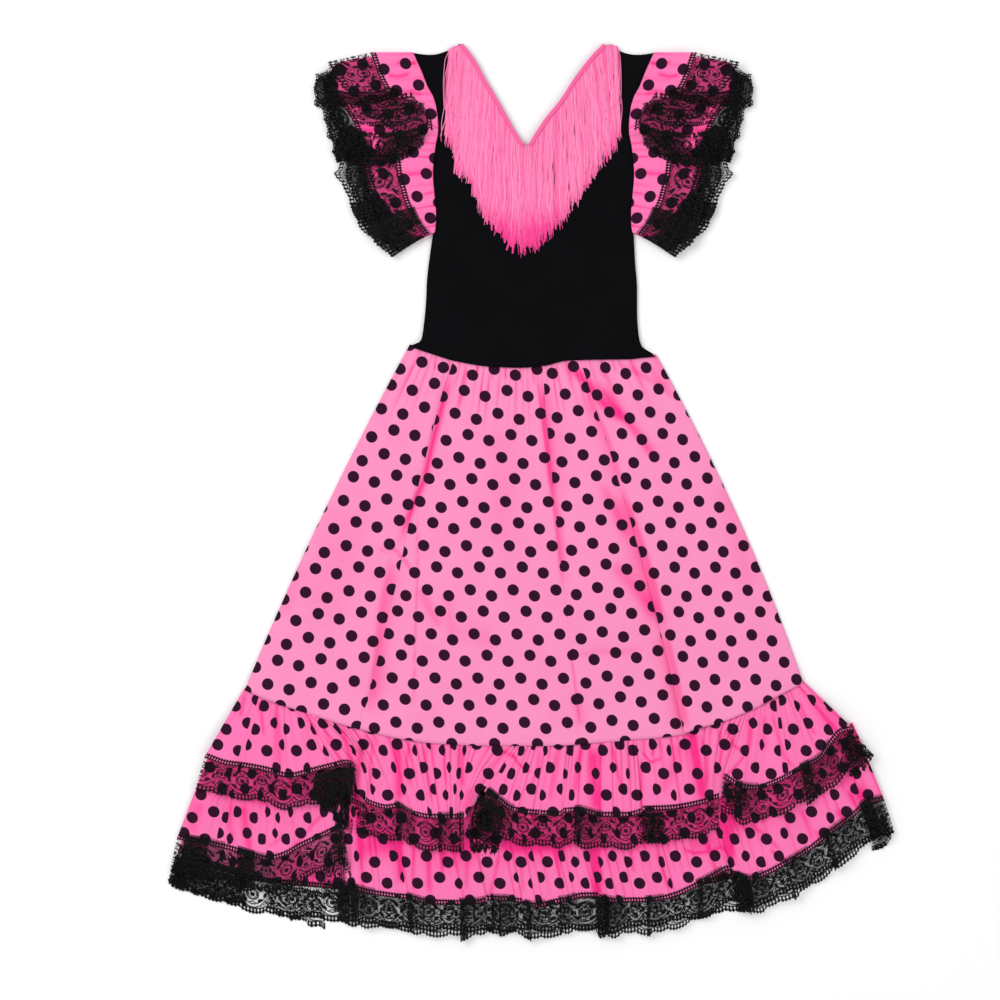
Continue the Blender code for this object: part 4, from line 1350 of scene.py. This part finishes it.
def stretches(panel, breaks):
    # the lace of a hem, from break to break
    ends = [0, *[panel.knots[panel.rowOf(place)] for place in np.ravel(breaks)], panel.knots[-1]]
    return list(zip(ends[::2], ends[1::2]))


for tier, panel, breaks in (("upper", upper, upperBreaks), ("lower", lower, lowerBreaks)):
    for number, (first, last) in enumerate(stretches(panel, breaks), 1):
        title, node = f"{tier}LaceFront{number}", f"{tier}_lace_front_{number}"
        lacePiece(title, node, panel, first=first, last=last, **hemLace[f"{tier}Front"])
lacePiece("upperLaceBack", "upper_lace_back", upperRear, **hemLace["upperBack"])
lacePiece("lowerLaceBack", "lower_lace_back", lowerRear, **hemLace["lowerBack"])
hemFolds = (
    # node, layers, how matted it is, then the points of its header and of its edge
    (
        "upper_lace_front_1", 2, 0.75,
        ((-213, -279), (-192, -275), (-173, -271)),
        ((-217, -303), (-200, -314), (-180, -332)),
    ),
    (
        "upper_lace_front_2", 1, 0.1,
        ((-177, -300), (-170, -304), (-162, -310)),
        ((-178, -336), (-170, -338), (-163, -339)),
    ),
    (
        "upper_lace_front_3", 2, 0.3,
        ((-50, -299), (-39, -305), (-24, -313)),
        ((-64, -340), (-50, -355), (-33, -358)),
    ),
    (
        "upper_lace_front_3", 2, 0.35,
        ((113, -317), (123, -317), (134, -316)),
        ((112, -341), (123, -346), (134, -343)),
    ),
    (
        "upper_lace_front_4", 1, 0.1,
        ((193, -288), (205, -295), (217, -297)),
        ((195, -310), (207, -316), (217, -312)),
    ),
    (
        "upper_lace_front_4", 2, 0.2,
        ((311, -245), (317, -240), (323, -241)),
        ((319, -279), (331, -275), (339, -259)),
    ),
    (
        "lower_lace_front_1", 2, 0.45,
        ((-353, -361), (-324, -367), (-285, -373)),
        ((-360, -388), (-327, -399), (-282, -410)),
    ),
    (
        "lower_lace_front_1", 1, 0.15,
        ((-204, -360), (-194, -347), (-183, -350)),
        ((-205, -396), (-193, -411), (-177, -392)),
    ),
    (
        "lower_lace_front_1", 1, 0.1,
        ((-262, -383), (-234, -391), (-204, -398)),
        ((-262, -414), (-234, -425), (-202, -433)),
    ),
    (
        "lower_lace_front_2", 2, 0.4,
        ((66, -401), (71, -401), (76, -400)),
        ((67, -434), (72, -439), (77, -436)),
    ),
    (
        "lower_lace_front_2", 2, 0.2,
        ((200, -374), (209, -377), (216, -382)),
        ((203, -402), (213, -416), (220, -418)),
    ),
    (
        "lower_lace_front_2", 2, 0.3,
        ((341, -329), (348, -325), (355, -321)),
        ((343, -354), (353, -352), (361, -340)),
    ),
)
for number, (node, layers, dense, header, edge) in enumerate(hemFolds):
    laceFold(f"hemFold{number + 1}", node, header, edge, layers, dense, number)
print("lace laid")


# sleeves
# painted shade along the gathers at the armholes
sleeveShades = {
    "upper": (
        (2, 0.7, (-143, 417), (-131, 415), (-117, 419)),
        (1.5, 0.6, (-134, 431), (-121, 427), (-111, 431)),
        ((3, 2), 0.5, (-131, 396), (-117, 401), (-105, 397)),
        (3, 0.4, (-109, 363), (-101, 375), (-97, 388)),
    ),
    "lower": (
        (2, 0.8, (-125, 335), (-111, 333), (-99, 337)),
        (2, 0.6, (-129, 323), (-115, 320), (-103, 322)),
        (2, 0.9, (-127, 299), (-115, 297), (-97, 303)),
        (2, 0.6, (-117, 311), (-105, 307), (-95, 309)),
        ((6, 4), 0.8, (-93, 288), (-92, 275), (-95, 263)),
        (3, 0.5, (-121, 343), (-109, 345), (-99, 353)),
    ),
}


def sleeveUv(column, points):
    return points[..., :2] - (-18.5, -5.0)


# what the fronts share and what the backs share, with how far the seam lies on the bodice
sleeveFaces = {
    "Front": {"over": 1.0, "gather": 1.6, "through": 0.04, "cloth": {"rows": 28, "uvOf": sleeveUv}},
    "Back": {"over": -1.2, "gather": 0, "through": 0.0, "cloth": {"rows": 14, "fine": 0.25}},
}
sleevePleats = {
    "upper": ((345, 352), (272, 290)),
    "lower": ((420, 430), (340, 352), (275, 300)),
}
sleeveRuffles = (
    # tier, face, table, heights at the seam and the hem, breaks in the lace, how far its edge is
    # drawn in, and what only this ruffle's cloth has
    ("upper", "Front", sleeveUpperFront, (4.9, 7.2), sleeveBreaks, 0.0, {"shades": sleeveShades["upper"]}),
    (
        "lower", "Front", sleeveLowerFront, (2 * onBack, 2 * onBack), (), 0.0,
        # painted shade: this ruffle is a deeper pink all over, under the upper one, and along drawn lines
        {"shades": sleeveShades["lower"], "shadeUnderCloth": (0.6, 1.0)},
    ),
    ("upper", "Back", sleeveUpperBack, (0, 0), (), 3.0, {}),
    ("lower", "Back", sleeveLowerBack, (onBack, onBack), (), 9.0, {}),
)
sleeveFolds = (
    # node, layers, fullness, how matted it is, then the points of its header and of its edge
    (
        "upper_lace_front_1", 2, 1.2, 0.1,
        ((-191, 421), (-195, 403), (-189, 383), (-181, 363), (-177, 343)),
        ((-212, 419), (-213, 397), (-204, 377), (-197, 353), (-191, 331)),
    ),
    (
        "upper_lace_front_3", 2, 1.3, 0.45,
        ((-186, 369), (-161, 362), (-134, 361), (-114, 364), (-100, 371)),
        ((-196, 343), (-177, 332), (-149, 330), (-124, 337), (-105, 350)),
    ),
    (
        "upper_lace_front_2", 1, 1.0, 0.12,
        ((-172, 368), (-153, 364), (-135, 363.5), (-119, 367), (-106, 377)),
        ((-183, 383), (-163, 392), (-137, 396), (-118, 395), (-105, 388)),
    ),
    (
        "upper_lace_front_1", 2, 1.2, 0.45,
        ((-199, 405), (-179, 400), (-157, 400), (-137, 404), (-131, 403)),
        ((-207, 389), (-184, 388), (-161, 389), (-141, 393), (-131, 397)),
    ),
)


def sleeve(side):
    mirror = side == "right"
    for tier, face, rows, lies, breaks, short, own in sleeveRuffles:
        look = sleeveFaces[face]
        panel = Panel(rows, armhole(look["over"]), slope(*lies), look["gather"], column=12, seed=4)
        title = f"{side}{tier.capitalize()}"
        node = f"sleeve_{side}_{tier}"
        clothPiece(
            f"{title}Ruffle{face}", f"{node}_ruffle_{face.lower()}", panel, flounceShadedCotton,
            mirror=mirror, **look["cloth"], **own,
        )
        for number, (first, last) in enumerate(stretches(panel, breaks), 1):
            label = f"_{number}" if breaks else ""
            lacePiece(
                f"{title}Lace{face}{number}", f"{node}_lace_{face.lower()}{label}", panel,
                sleevePleats[tier], first, last, through=look["through"], short=short, mirror=mirror,
            )
    for number, (node, layers, fullness, dense, header, edge) in enumerate(sleeveFolds):
        title = f"{side}SleeveFold{number + 1}"
        laceFold(title, f"sleeve_{side}_{node}", header, edge, layers, dense, number, fullness, mirror)


sleeve("left")
sleeve("right")
print("sleeves laid")


# bodice
bodiceLook = {
    "front": {"lies": (1.65, lapped, 0.85), "wider": 0.0, "hemGap": 0.0},
    "back": {"lies": (0, 0), "wider": 3, "hemGap": 1.2},
    "levels": (48, 60),  # beside the neck and below it
    "columns": 42,
    "thick": 0.7,
    "shoulder": (6, 0.15),  # how far the shoulder seam dips, and the share of the depth it dips in
    "toHem": 0.7,  # where it starts to follow the waist seam
    "creases": (
        (-98, 250, -40, 232, 5, 0.9), (102, 248, 52, 226, 5, 0.9), (-92, 200, -30, 190, 7, 0.8),
        (100, 190, 40, 182, 7, 0.8), (-60, 170, -66, 140, 3, -0.7), (-20, 175, -24, 136, 3, -0.7),
        (30, 172, 34, 138, 3, -0.7), (76, 172, 82, 142, 3, -0.7), (-100, 330, -70, 300, 4, 0.8),
        (104, 330, 78, 300, 4, 0.8),
    ),
}
outward = {"left": -1, "right": 1}


def neckPoint(side, y, wider=0.0):
    return smooth(neck["y"], neck[side], y) + outward[side] * wider


def bodiceHalf(side, look):
    edge = leftEdge if side == "left" else rightEdge
    pointY = neck["y"][-1] - 2 * look["wider"]
    innerTop = neck["y"][0]
    waistX = neck["left"][-1]
    waistY = smooth(waist["x"], waist["y"], np.array(waistX))
    split = (innerTop - pointY) / (innerTop - waistY)
    beside, below = bodiceLook["levels"]
    levels = np.concatenate([np.linspace(0, split, beside), np.linspace(split, 1, below)[1:]])
    t, share = np.meshgrid(np.linspace(0, 1, bodiceLook["columns"]), levels)
    outerY = lerp(edge["y"][0], edge["y"][-1], share)
    outerX = smooth(edge["y"], edge["x"], outerY)
    innerY = lerp(innerTop, waistY, share)
    innerX = np.where(innerY > pointY + 0.01, neckPoint(side, innerY, look["wider"]), waistX)
    x = lerp(outerX, innerX, t)
    y = lerp(outerY, innerY, t)
    hem = smooth(waist["x"], waist["y"], x) + look["hemGap"]
    toHem = bodiceLook["toHem"]
    y = y + (hem - lerp(edge["y"][-1], waistY, t)) * ease((share - toHem) / (1 - toHem))
    dip, within = bodiceLook["shoulder"]
    y = y - dip * np.sin(np.pi * t) * (1 - ease(share / within))
    z = slope(*look["lies"])(share) + clothLift + stroke(x, y, bodiceLook["creases"])
    points = np.stack([x, y, z], axis=-1)
    return points[:, ::-1] if side == "right" else points


def bodice(face):
    left, right = bodiceHalf("left", bodiceLook[face]), bodiceHalf("right", bodiceLook[face])
    points = np.concatenate([left, right[:, 1:]], axis=1)
    corners = gridCorners(points)
    keep = np.ones(corners.shape[:2], bool)
    # above the point of the neck the halves don't meet
    keep[: bodiceLook["levels"][0] - 1, left.shape[1] - 1] = False
    name = f"bodice{face.capitalize()}Knit"
    mesh = meshOf(name, points, corners[keep], points[..., :2], {})
    made = finishPiece(name, mesh, f"bodice_{face}", blackKnit)
    thicken(made, bodiceLook["thick"])
    return made


bodiceBack = bodice("back")
bodiceFront = bodice("front")
print("bodice laid")


# fringe
fringe = {
    "height": 3.3,  # where it lies on the bodice
    "sewn": 0.1,  # how much lower its strands lie
    "points": 26,  # along each strand
    "sides": 4,
    # the strands under and over: how many on each side, how thick, how they part below the point
    # of the neck, how much deeper their pink is, and how far they are raised
    # painted shade: the strands underneath are a deeper pink
    "under": {"strands": 120, "thick": 2.8, "apart": (0.0, 5.0), "deeper": 0.2, "raised": 0.0},
    "over": {"strands": 260, "thick": 0.84, "apart": (2.0, 0.0), "deeper": 0.0, "raised": 0.7},
    "seam": (4.5, 0.85),  # how far it is sewn from the neckline, and where it draws in to the point
    "tuft": 5,  # strands that end alike
    # how unlike the tips of the tufts, and of the strands in them, end
    "ragged": (3.2, 2.2),  # in length
    "strewn": (0.7, 1.3),  # and sideways
    "sway": 1.4,
    "curl": (1.1, 7, 22),  # how wide each strand curls, and its least and greatest pace
    "point": (0.78, 0.15),  # where the strands at the point of the neck begin, and how soon they part
    "parts": 0.25,  # how far down they start to part
    "frayed": 1.6,  # how far the ends spread
    "end": 0.8,  # where the ends begin
    "tip": 0.92,  # and where they grow thin
    "slant": 0.8,  # under 1, the strands lean most near the seam
    "beyond": 0.02,  # share of the strands whose tips gather at each end of the row
    "layers": (4, 0.3),  # how many layers the strands lie in, and their height
    "sinks": 0.35,  # how much lower they lie at the tips, and how much thinner those are
    "crown": (0.6, 8),  # how much higher they leave the seam, and how fast that ends
    "deep": (-0.3, 0.42),  # the least and the most of the deeper pink
    "deepEnd": 0.25,  # how much deeper the ends are, and the strands at the point
    "deepPoint": (0.7, 50, 45, 28),  # with its reach upwards and sideways, in millimetres
    "shoulder": {"left": ((-80, 443), (-74, 446)), "right": ((88, 446), (81, 448))},
    # long strands that hang in loops at the outside and across
    "looseRadius": 0.45,
    "looseRaised": 1.6,
    "looseTone": 0.3,
    "loose": {
        "left": (
            ((-79, 443), (-84, 431), (-85.5, 408), (-85, 388), (-82.5, 381), (-74, 377), (-63, 374)),
            ((-77, 441), (-82, 420), (-83, 396), (-80, 384), (-76, 379)),
            ((-44, 285), (-39, 277), (-31, 273), (-22, 274)),
        ),
        "right": (
            ((88, 446), (91, 434), (92, 410), (91.5, 390), (88, 386), (78, 382), (71, 380)),
            ((86, 445), (90, 425), (90.5, 402), (88, 390), (82, 384)),
            ((14, 286), (20, 277), (29, 273), (37, 276)),
        ),
    },
}
braid = {
    "cords": 3,
    "turn": 6.0,
    "points": 260,
    "sides": 6,
    "radius": 0.95,
    "tone": 0.55,
    "raised": 2.9,
    "middle": 2.3,  # how far its middle lies from the neckline
    "weave": (1.3, 0.55),  # how far its cords swing to the side and upwards
    "lean": (0.9, 0.45),  # its way from the neckline, outwards and down
}


def tubeMesh(name, paths, radius, tones, sides):
    # paths: strands x points x 3; radius and tones: strands x points
    step = np.gradient(paths, axis=1)
    step /= np.linalg.norm(step, axis=-1, keepdims=True)
    side = np.cross(step, (0.0, 0.0, 1.0))
    side /= np.linalg.norm(side, axis=-1, keepdims=True) + 1e-9
    over = np.cross(side, step)
    angle = np.linspace(0, 2 * pi, sides, endpoint=False)
    ring = np.cos(angle)[:, None] * side[:, :, None, :] + np.sin(angle)[:, None] * over[:, :, None, :]
    points = paths[:, :, None, :] + ring * radius[:, :, None, None]
    strands, long = paths.shape[:2]
    index = np.arange(strands * long * sides).reshape(strands, long, sides)
    after = np.roll(index, -1, axis=2)
    corners = np.stack([index[:, :-1], index[:, 1:], after[:, 1:], after[:, :-1]], axis=-1)
    down = np.stack([arcLength(path) for path in paths])
    uv = np.stack(np.broadcast_arrays(angle * 0.7, down[:, :, None]), axis=-1)
    tone = np.broadcast_to(tones[:, :, None], points.shape[:3])
    return meshOf(name, points, corners.reshape(-1, 4), uv, {"tone": tone})


def strandRoots(side, share):
    # from the shoulder along the seam, then down the neckline to its point
    q = np.linspace(0, 1, 60)
    y = np.linspace(neck["y"][0] - 2, neck["y"][-1] - 1, len(q))
    aside, drawn = fringe["seam"]
    x = neckPoint(side, y) + outward[side] * lerp(aside, 0.0, ease((q - drawn) / (1 - drawn)))
    line = np.concatenate([np.array(fringe["shoulder"][side], float), np.stack([x, y], axis=-1)])
    run = arcLength(line) / arcLength(line)[-1]
    return np.interp(share, run, line[:, 0]), np.interp(share, run, line[:, 1])


def strandPaths(side, tips, level):
    look = fringe[level]
    count = look["strands"]
    each = (count, 1)
    share = np.sort((np.arange(count) + dice.uniform(0, 1, count)) / count)
    rootX, rootY = strandRoots(side, share)
    knots = np.linspace(0, 1, len(tips["x"]))
    beyond = fringe["beyond"]
    tipX = smooth(knots, tips["x"], np.clip(share * (1 + 2 * beyond) - beyond, 0, 1))
    order = np.argsort(tips["x"])
    tipY = np.interp(tipX, tips["x"][order], tips["y"][order])
    tuft = np.arange(count) // fringe["tuft"]
    ofTuft, ofStrand = fringe["strewn"]
    tipX = tipX + dice.normal(0, ofTuft, count)[tuft] + dice.normal(0, ofStrand, count)
    ofTuft, ofStrand = fringe["ragged"]
    tipY = tipY + dice.normal(0, ofTuft, count)[tuft] + dice.normal(0, ofStrand, count)
    s = np.linspace(0, 1, fringe["points"])[None, :]
    sway = dice.normal(0, fringe["sway"], each) * np.sin(pi * s)
    wide, *paces = fringe["curl"]
    curl = wide * np.sin(dice.uniform(*paces, each) * s + dice.uniform(0, 6.28, each)) * ease(s * 3)
    x = lerp(rootX[:, None], tipX[:, None], s ** fringe["slant"]) + sway + curl
    # under the point of the neck the upper strands part and show the lower ones, which cross
    begin, soon = fringe["point"]
    middle = ease((share - begin) / soon)[:, None]
    aside, crossing = look["apart"]
    apart = dice.normal(0, crossing, each) if crossing else outward[side] * aside
    x = x + middle * apart * ease((s - fringe["parts"]) / (1 - fringe["parts"]))
    atEnd = ease((s - fringe["end"]) / (1 - fringe["end"]))
    x = x + dice.normal(0, fringe["frayed"], each) * atEnd
    y = lerp(rootY[:, None], tipY[:, None], s)
    layers, high = fringe["layers"]
    layer = (np.arange(count) * 7 % layers)[:, None] * high + look["raised"]
    crown, fast = fringe["crown"]
    z = fringe["height"] - fringe["sewn"] + layer * (1 - fringe["sinks"] * s)
    z = z + crown * np.clip(1 - s * fast, 0, 1)
    tip = ease((s - fringe["tip"]) / (1 - fringe["tip"]))
    radius = np.broadcast_to(look["thick"] / 2 * (1 - fringe["sinks"] * tip), x.shape)
    # deeper pink towards the tips and at the point
    atPoint, reach, up, sideways = fringe["deepPoint"]
    low = ease((reach - (y - tips["y"].min())) / up) * ease((reach - np.abs(x)) / sideways)
    deep = dice.uniform(*fringe["deep"], each) + look["deeper"]
    tones = np.clip(deep + fringe["deepEnd"] * atEnd + atPoint * low, 0, 1)
    return np.stack([x, y, z], axis=-1), radius, tones


def looseStrand(knots):
    line = curveThrough(knots, fringe["points"])
    high = fringe["height"] + fringe["looseRaised"]
    line = np.column_stack([line, np.full(len(line), high)])[None]
    thick, tone = (np.full(line.shape[:2], fringe[key]) for key in ("looseRadius", "looseTone"))
    return line, thick, tone


def braidPaths(side):
    # a plait of cords along the neck
    edgeY = lerp(neck["y"][0] - 1, neck["y"][-1] + 2, np.linspace(0, 1, braid["points"]))
    edgeX = neckPoint(side, edgeY)
    turn = np.cumsum(np.hypot(np.gradient(edgeX), np.gradient(edgeY))) * (2 * pi / braid["turn"])
    swing, rise = braid["weave"]
    across, down = braid["lean"]
    paths = []
    for number in range(braid["cords"]):
        phase = turn + number * 2 * pi / braid["cords"]
        offset = braid["middle"] + swing * np.sin(phase)
        x = edgeX + outward[side] * offset * across
        z = fringe["height"] + braid["raised"] + rise * np.sin(2 * phase)
        paths.append(np.stack([x, edgeY - offset * down, z], axis=-1))
    return np.array(paths)


def fringePiece(side, tips):
    parts = [strandPaths(side, tips, level) for level in ("under", "over")]
    parts += [looseStrand(knots) for knots in fringe["loose"][side]]
    paths, radius, tones = (np.concatenate(part) for part in zip(*parts))
    plaits = braidPaths(side)
    plaitRadius = np.full(plaits.shape[:2], braid["radius"])
    plaitTones = np.full(plaits.shape[:2], braid["tone"])
    strands = tubeMesh(f"{side}Fringe", paths, radius, tones, fringe["sides"])
    cords = tubeMesh(f"{side}Braid", plaits, plaitRadius, plaitTones, braid["sides"])
    return [
        finishPiece(mesh.name, mesh, f"neck_fringe_{side}", pinkCord)
        for mesh in (strands, cords)
    ]


trims = fringePiece("left", fringeLeft) + fringePiece("right", fringeRight)
print("fringe laid")


# the studio
studio = {
    "floor": {
        "size": 9000, "under": -0.4, "grain": 60.0, "rough": 0.9,
        "shades": (rgb(0.93, 0.93, 0.93), rgb(0.95, 0.95, 0.95)),
    },
    "boxes": {
        # place, size and power
        "keyBox": ((-1.3, 0.9, 1.9), (1.4, 1.4), 26.0),
        "fillBox": ((1.6, -0.6, 2.1), (1.8, 1.8), 12.0),
    },
    "aim": (-0.03, 0.0, 0.0),
    "world": 0.72,
    "camera": (-0.029, -0.007, 3.0),
    "lens": 108,
    "sensor": 36,
}


def flatFloor(size, under, grain, rough, shades):
    points = np.array([[(x, y, under) for x in (-size, size)] for y in (size, -size)], float)
    graph = Graph("paperWhite")
    paper = graph.node("TexNoise", None, {"Scale": grain})
    colour = graph.mix(*shades, paper)
    surface = graph.node("BsdfPrincipled", None, {"Base Color": colour, "Roughness": rough})
    made = bpy.data.objects.new("floor", gridMesh("floor", points, points[..., :2], {}))
    made.data.materials.append(graph.finish(surface))
    bpy.context.scene.collection.objects.link(made)


def softBox(name, place, size, power):
    data = bpy.data.lights.new(name, "AREA")
    data.shape = "RECTANGLE"
    data.size, data.size_y = size
    data.energy = power
    lamp = bpy.data.objects.new(name, data)
    lamp.location = place
    lamp.rotation_euler = (Vector(studio["aim"]) - Vector(place)).to_track_quat("-Z", "Y").to_euler()
    bpy.context.scene.collection.objects.link(lamp)


flatFloor(**studio["floor"])
for name, box in studio["boxes"].items():
    softBox(name, *box)
world = bpy.data.worlds.new("studio")
world.use_nodes = True
background = world.node_tree.nodes["Background"].inputs
background["Color"].default_value = rgb(1, 1, 1)
background["Strength"].default_value = studio["world"]
bpy.context.scene.world = world
bpy.context.scene.view_settings.view_transform = "Standard"

lens = bpy.data.cameras.new("camera")
lens.lens = studio["lens"]
lens.sensor_width = studio["sensor"]
camera = bpy.data.objects.new("camera", lens)
camera.location = studio["camera"]
bpy.context.scene.collection.objects.link(camera)
bpy.context.scene.camera = camera
print("studio set")
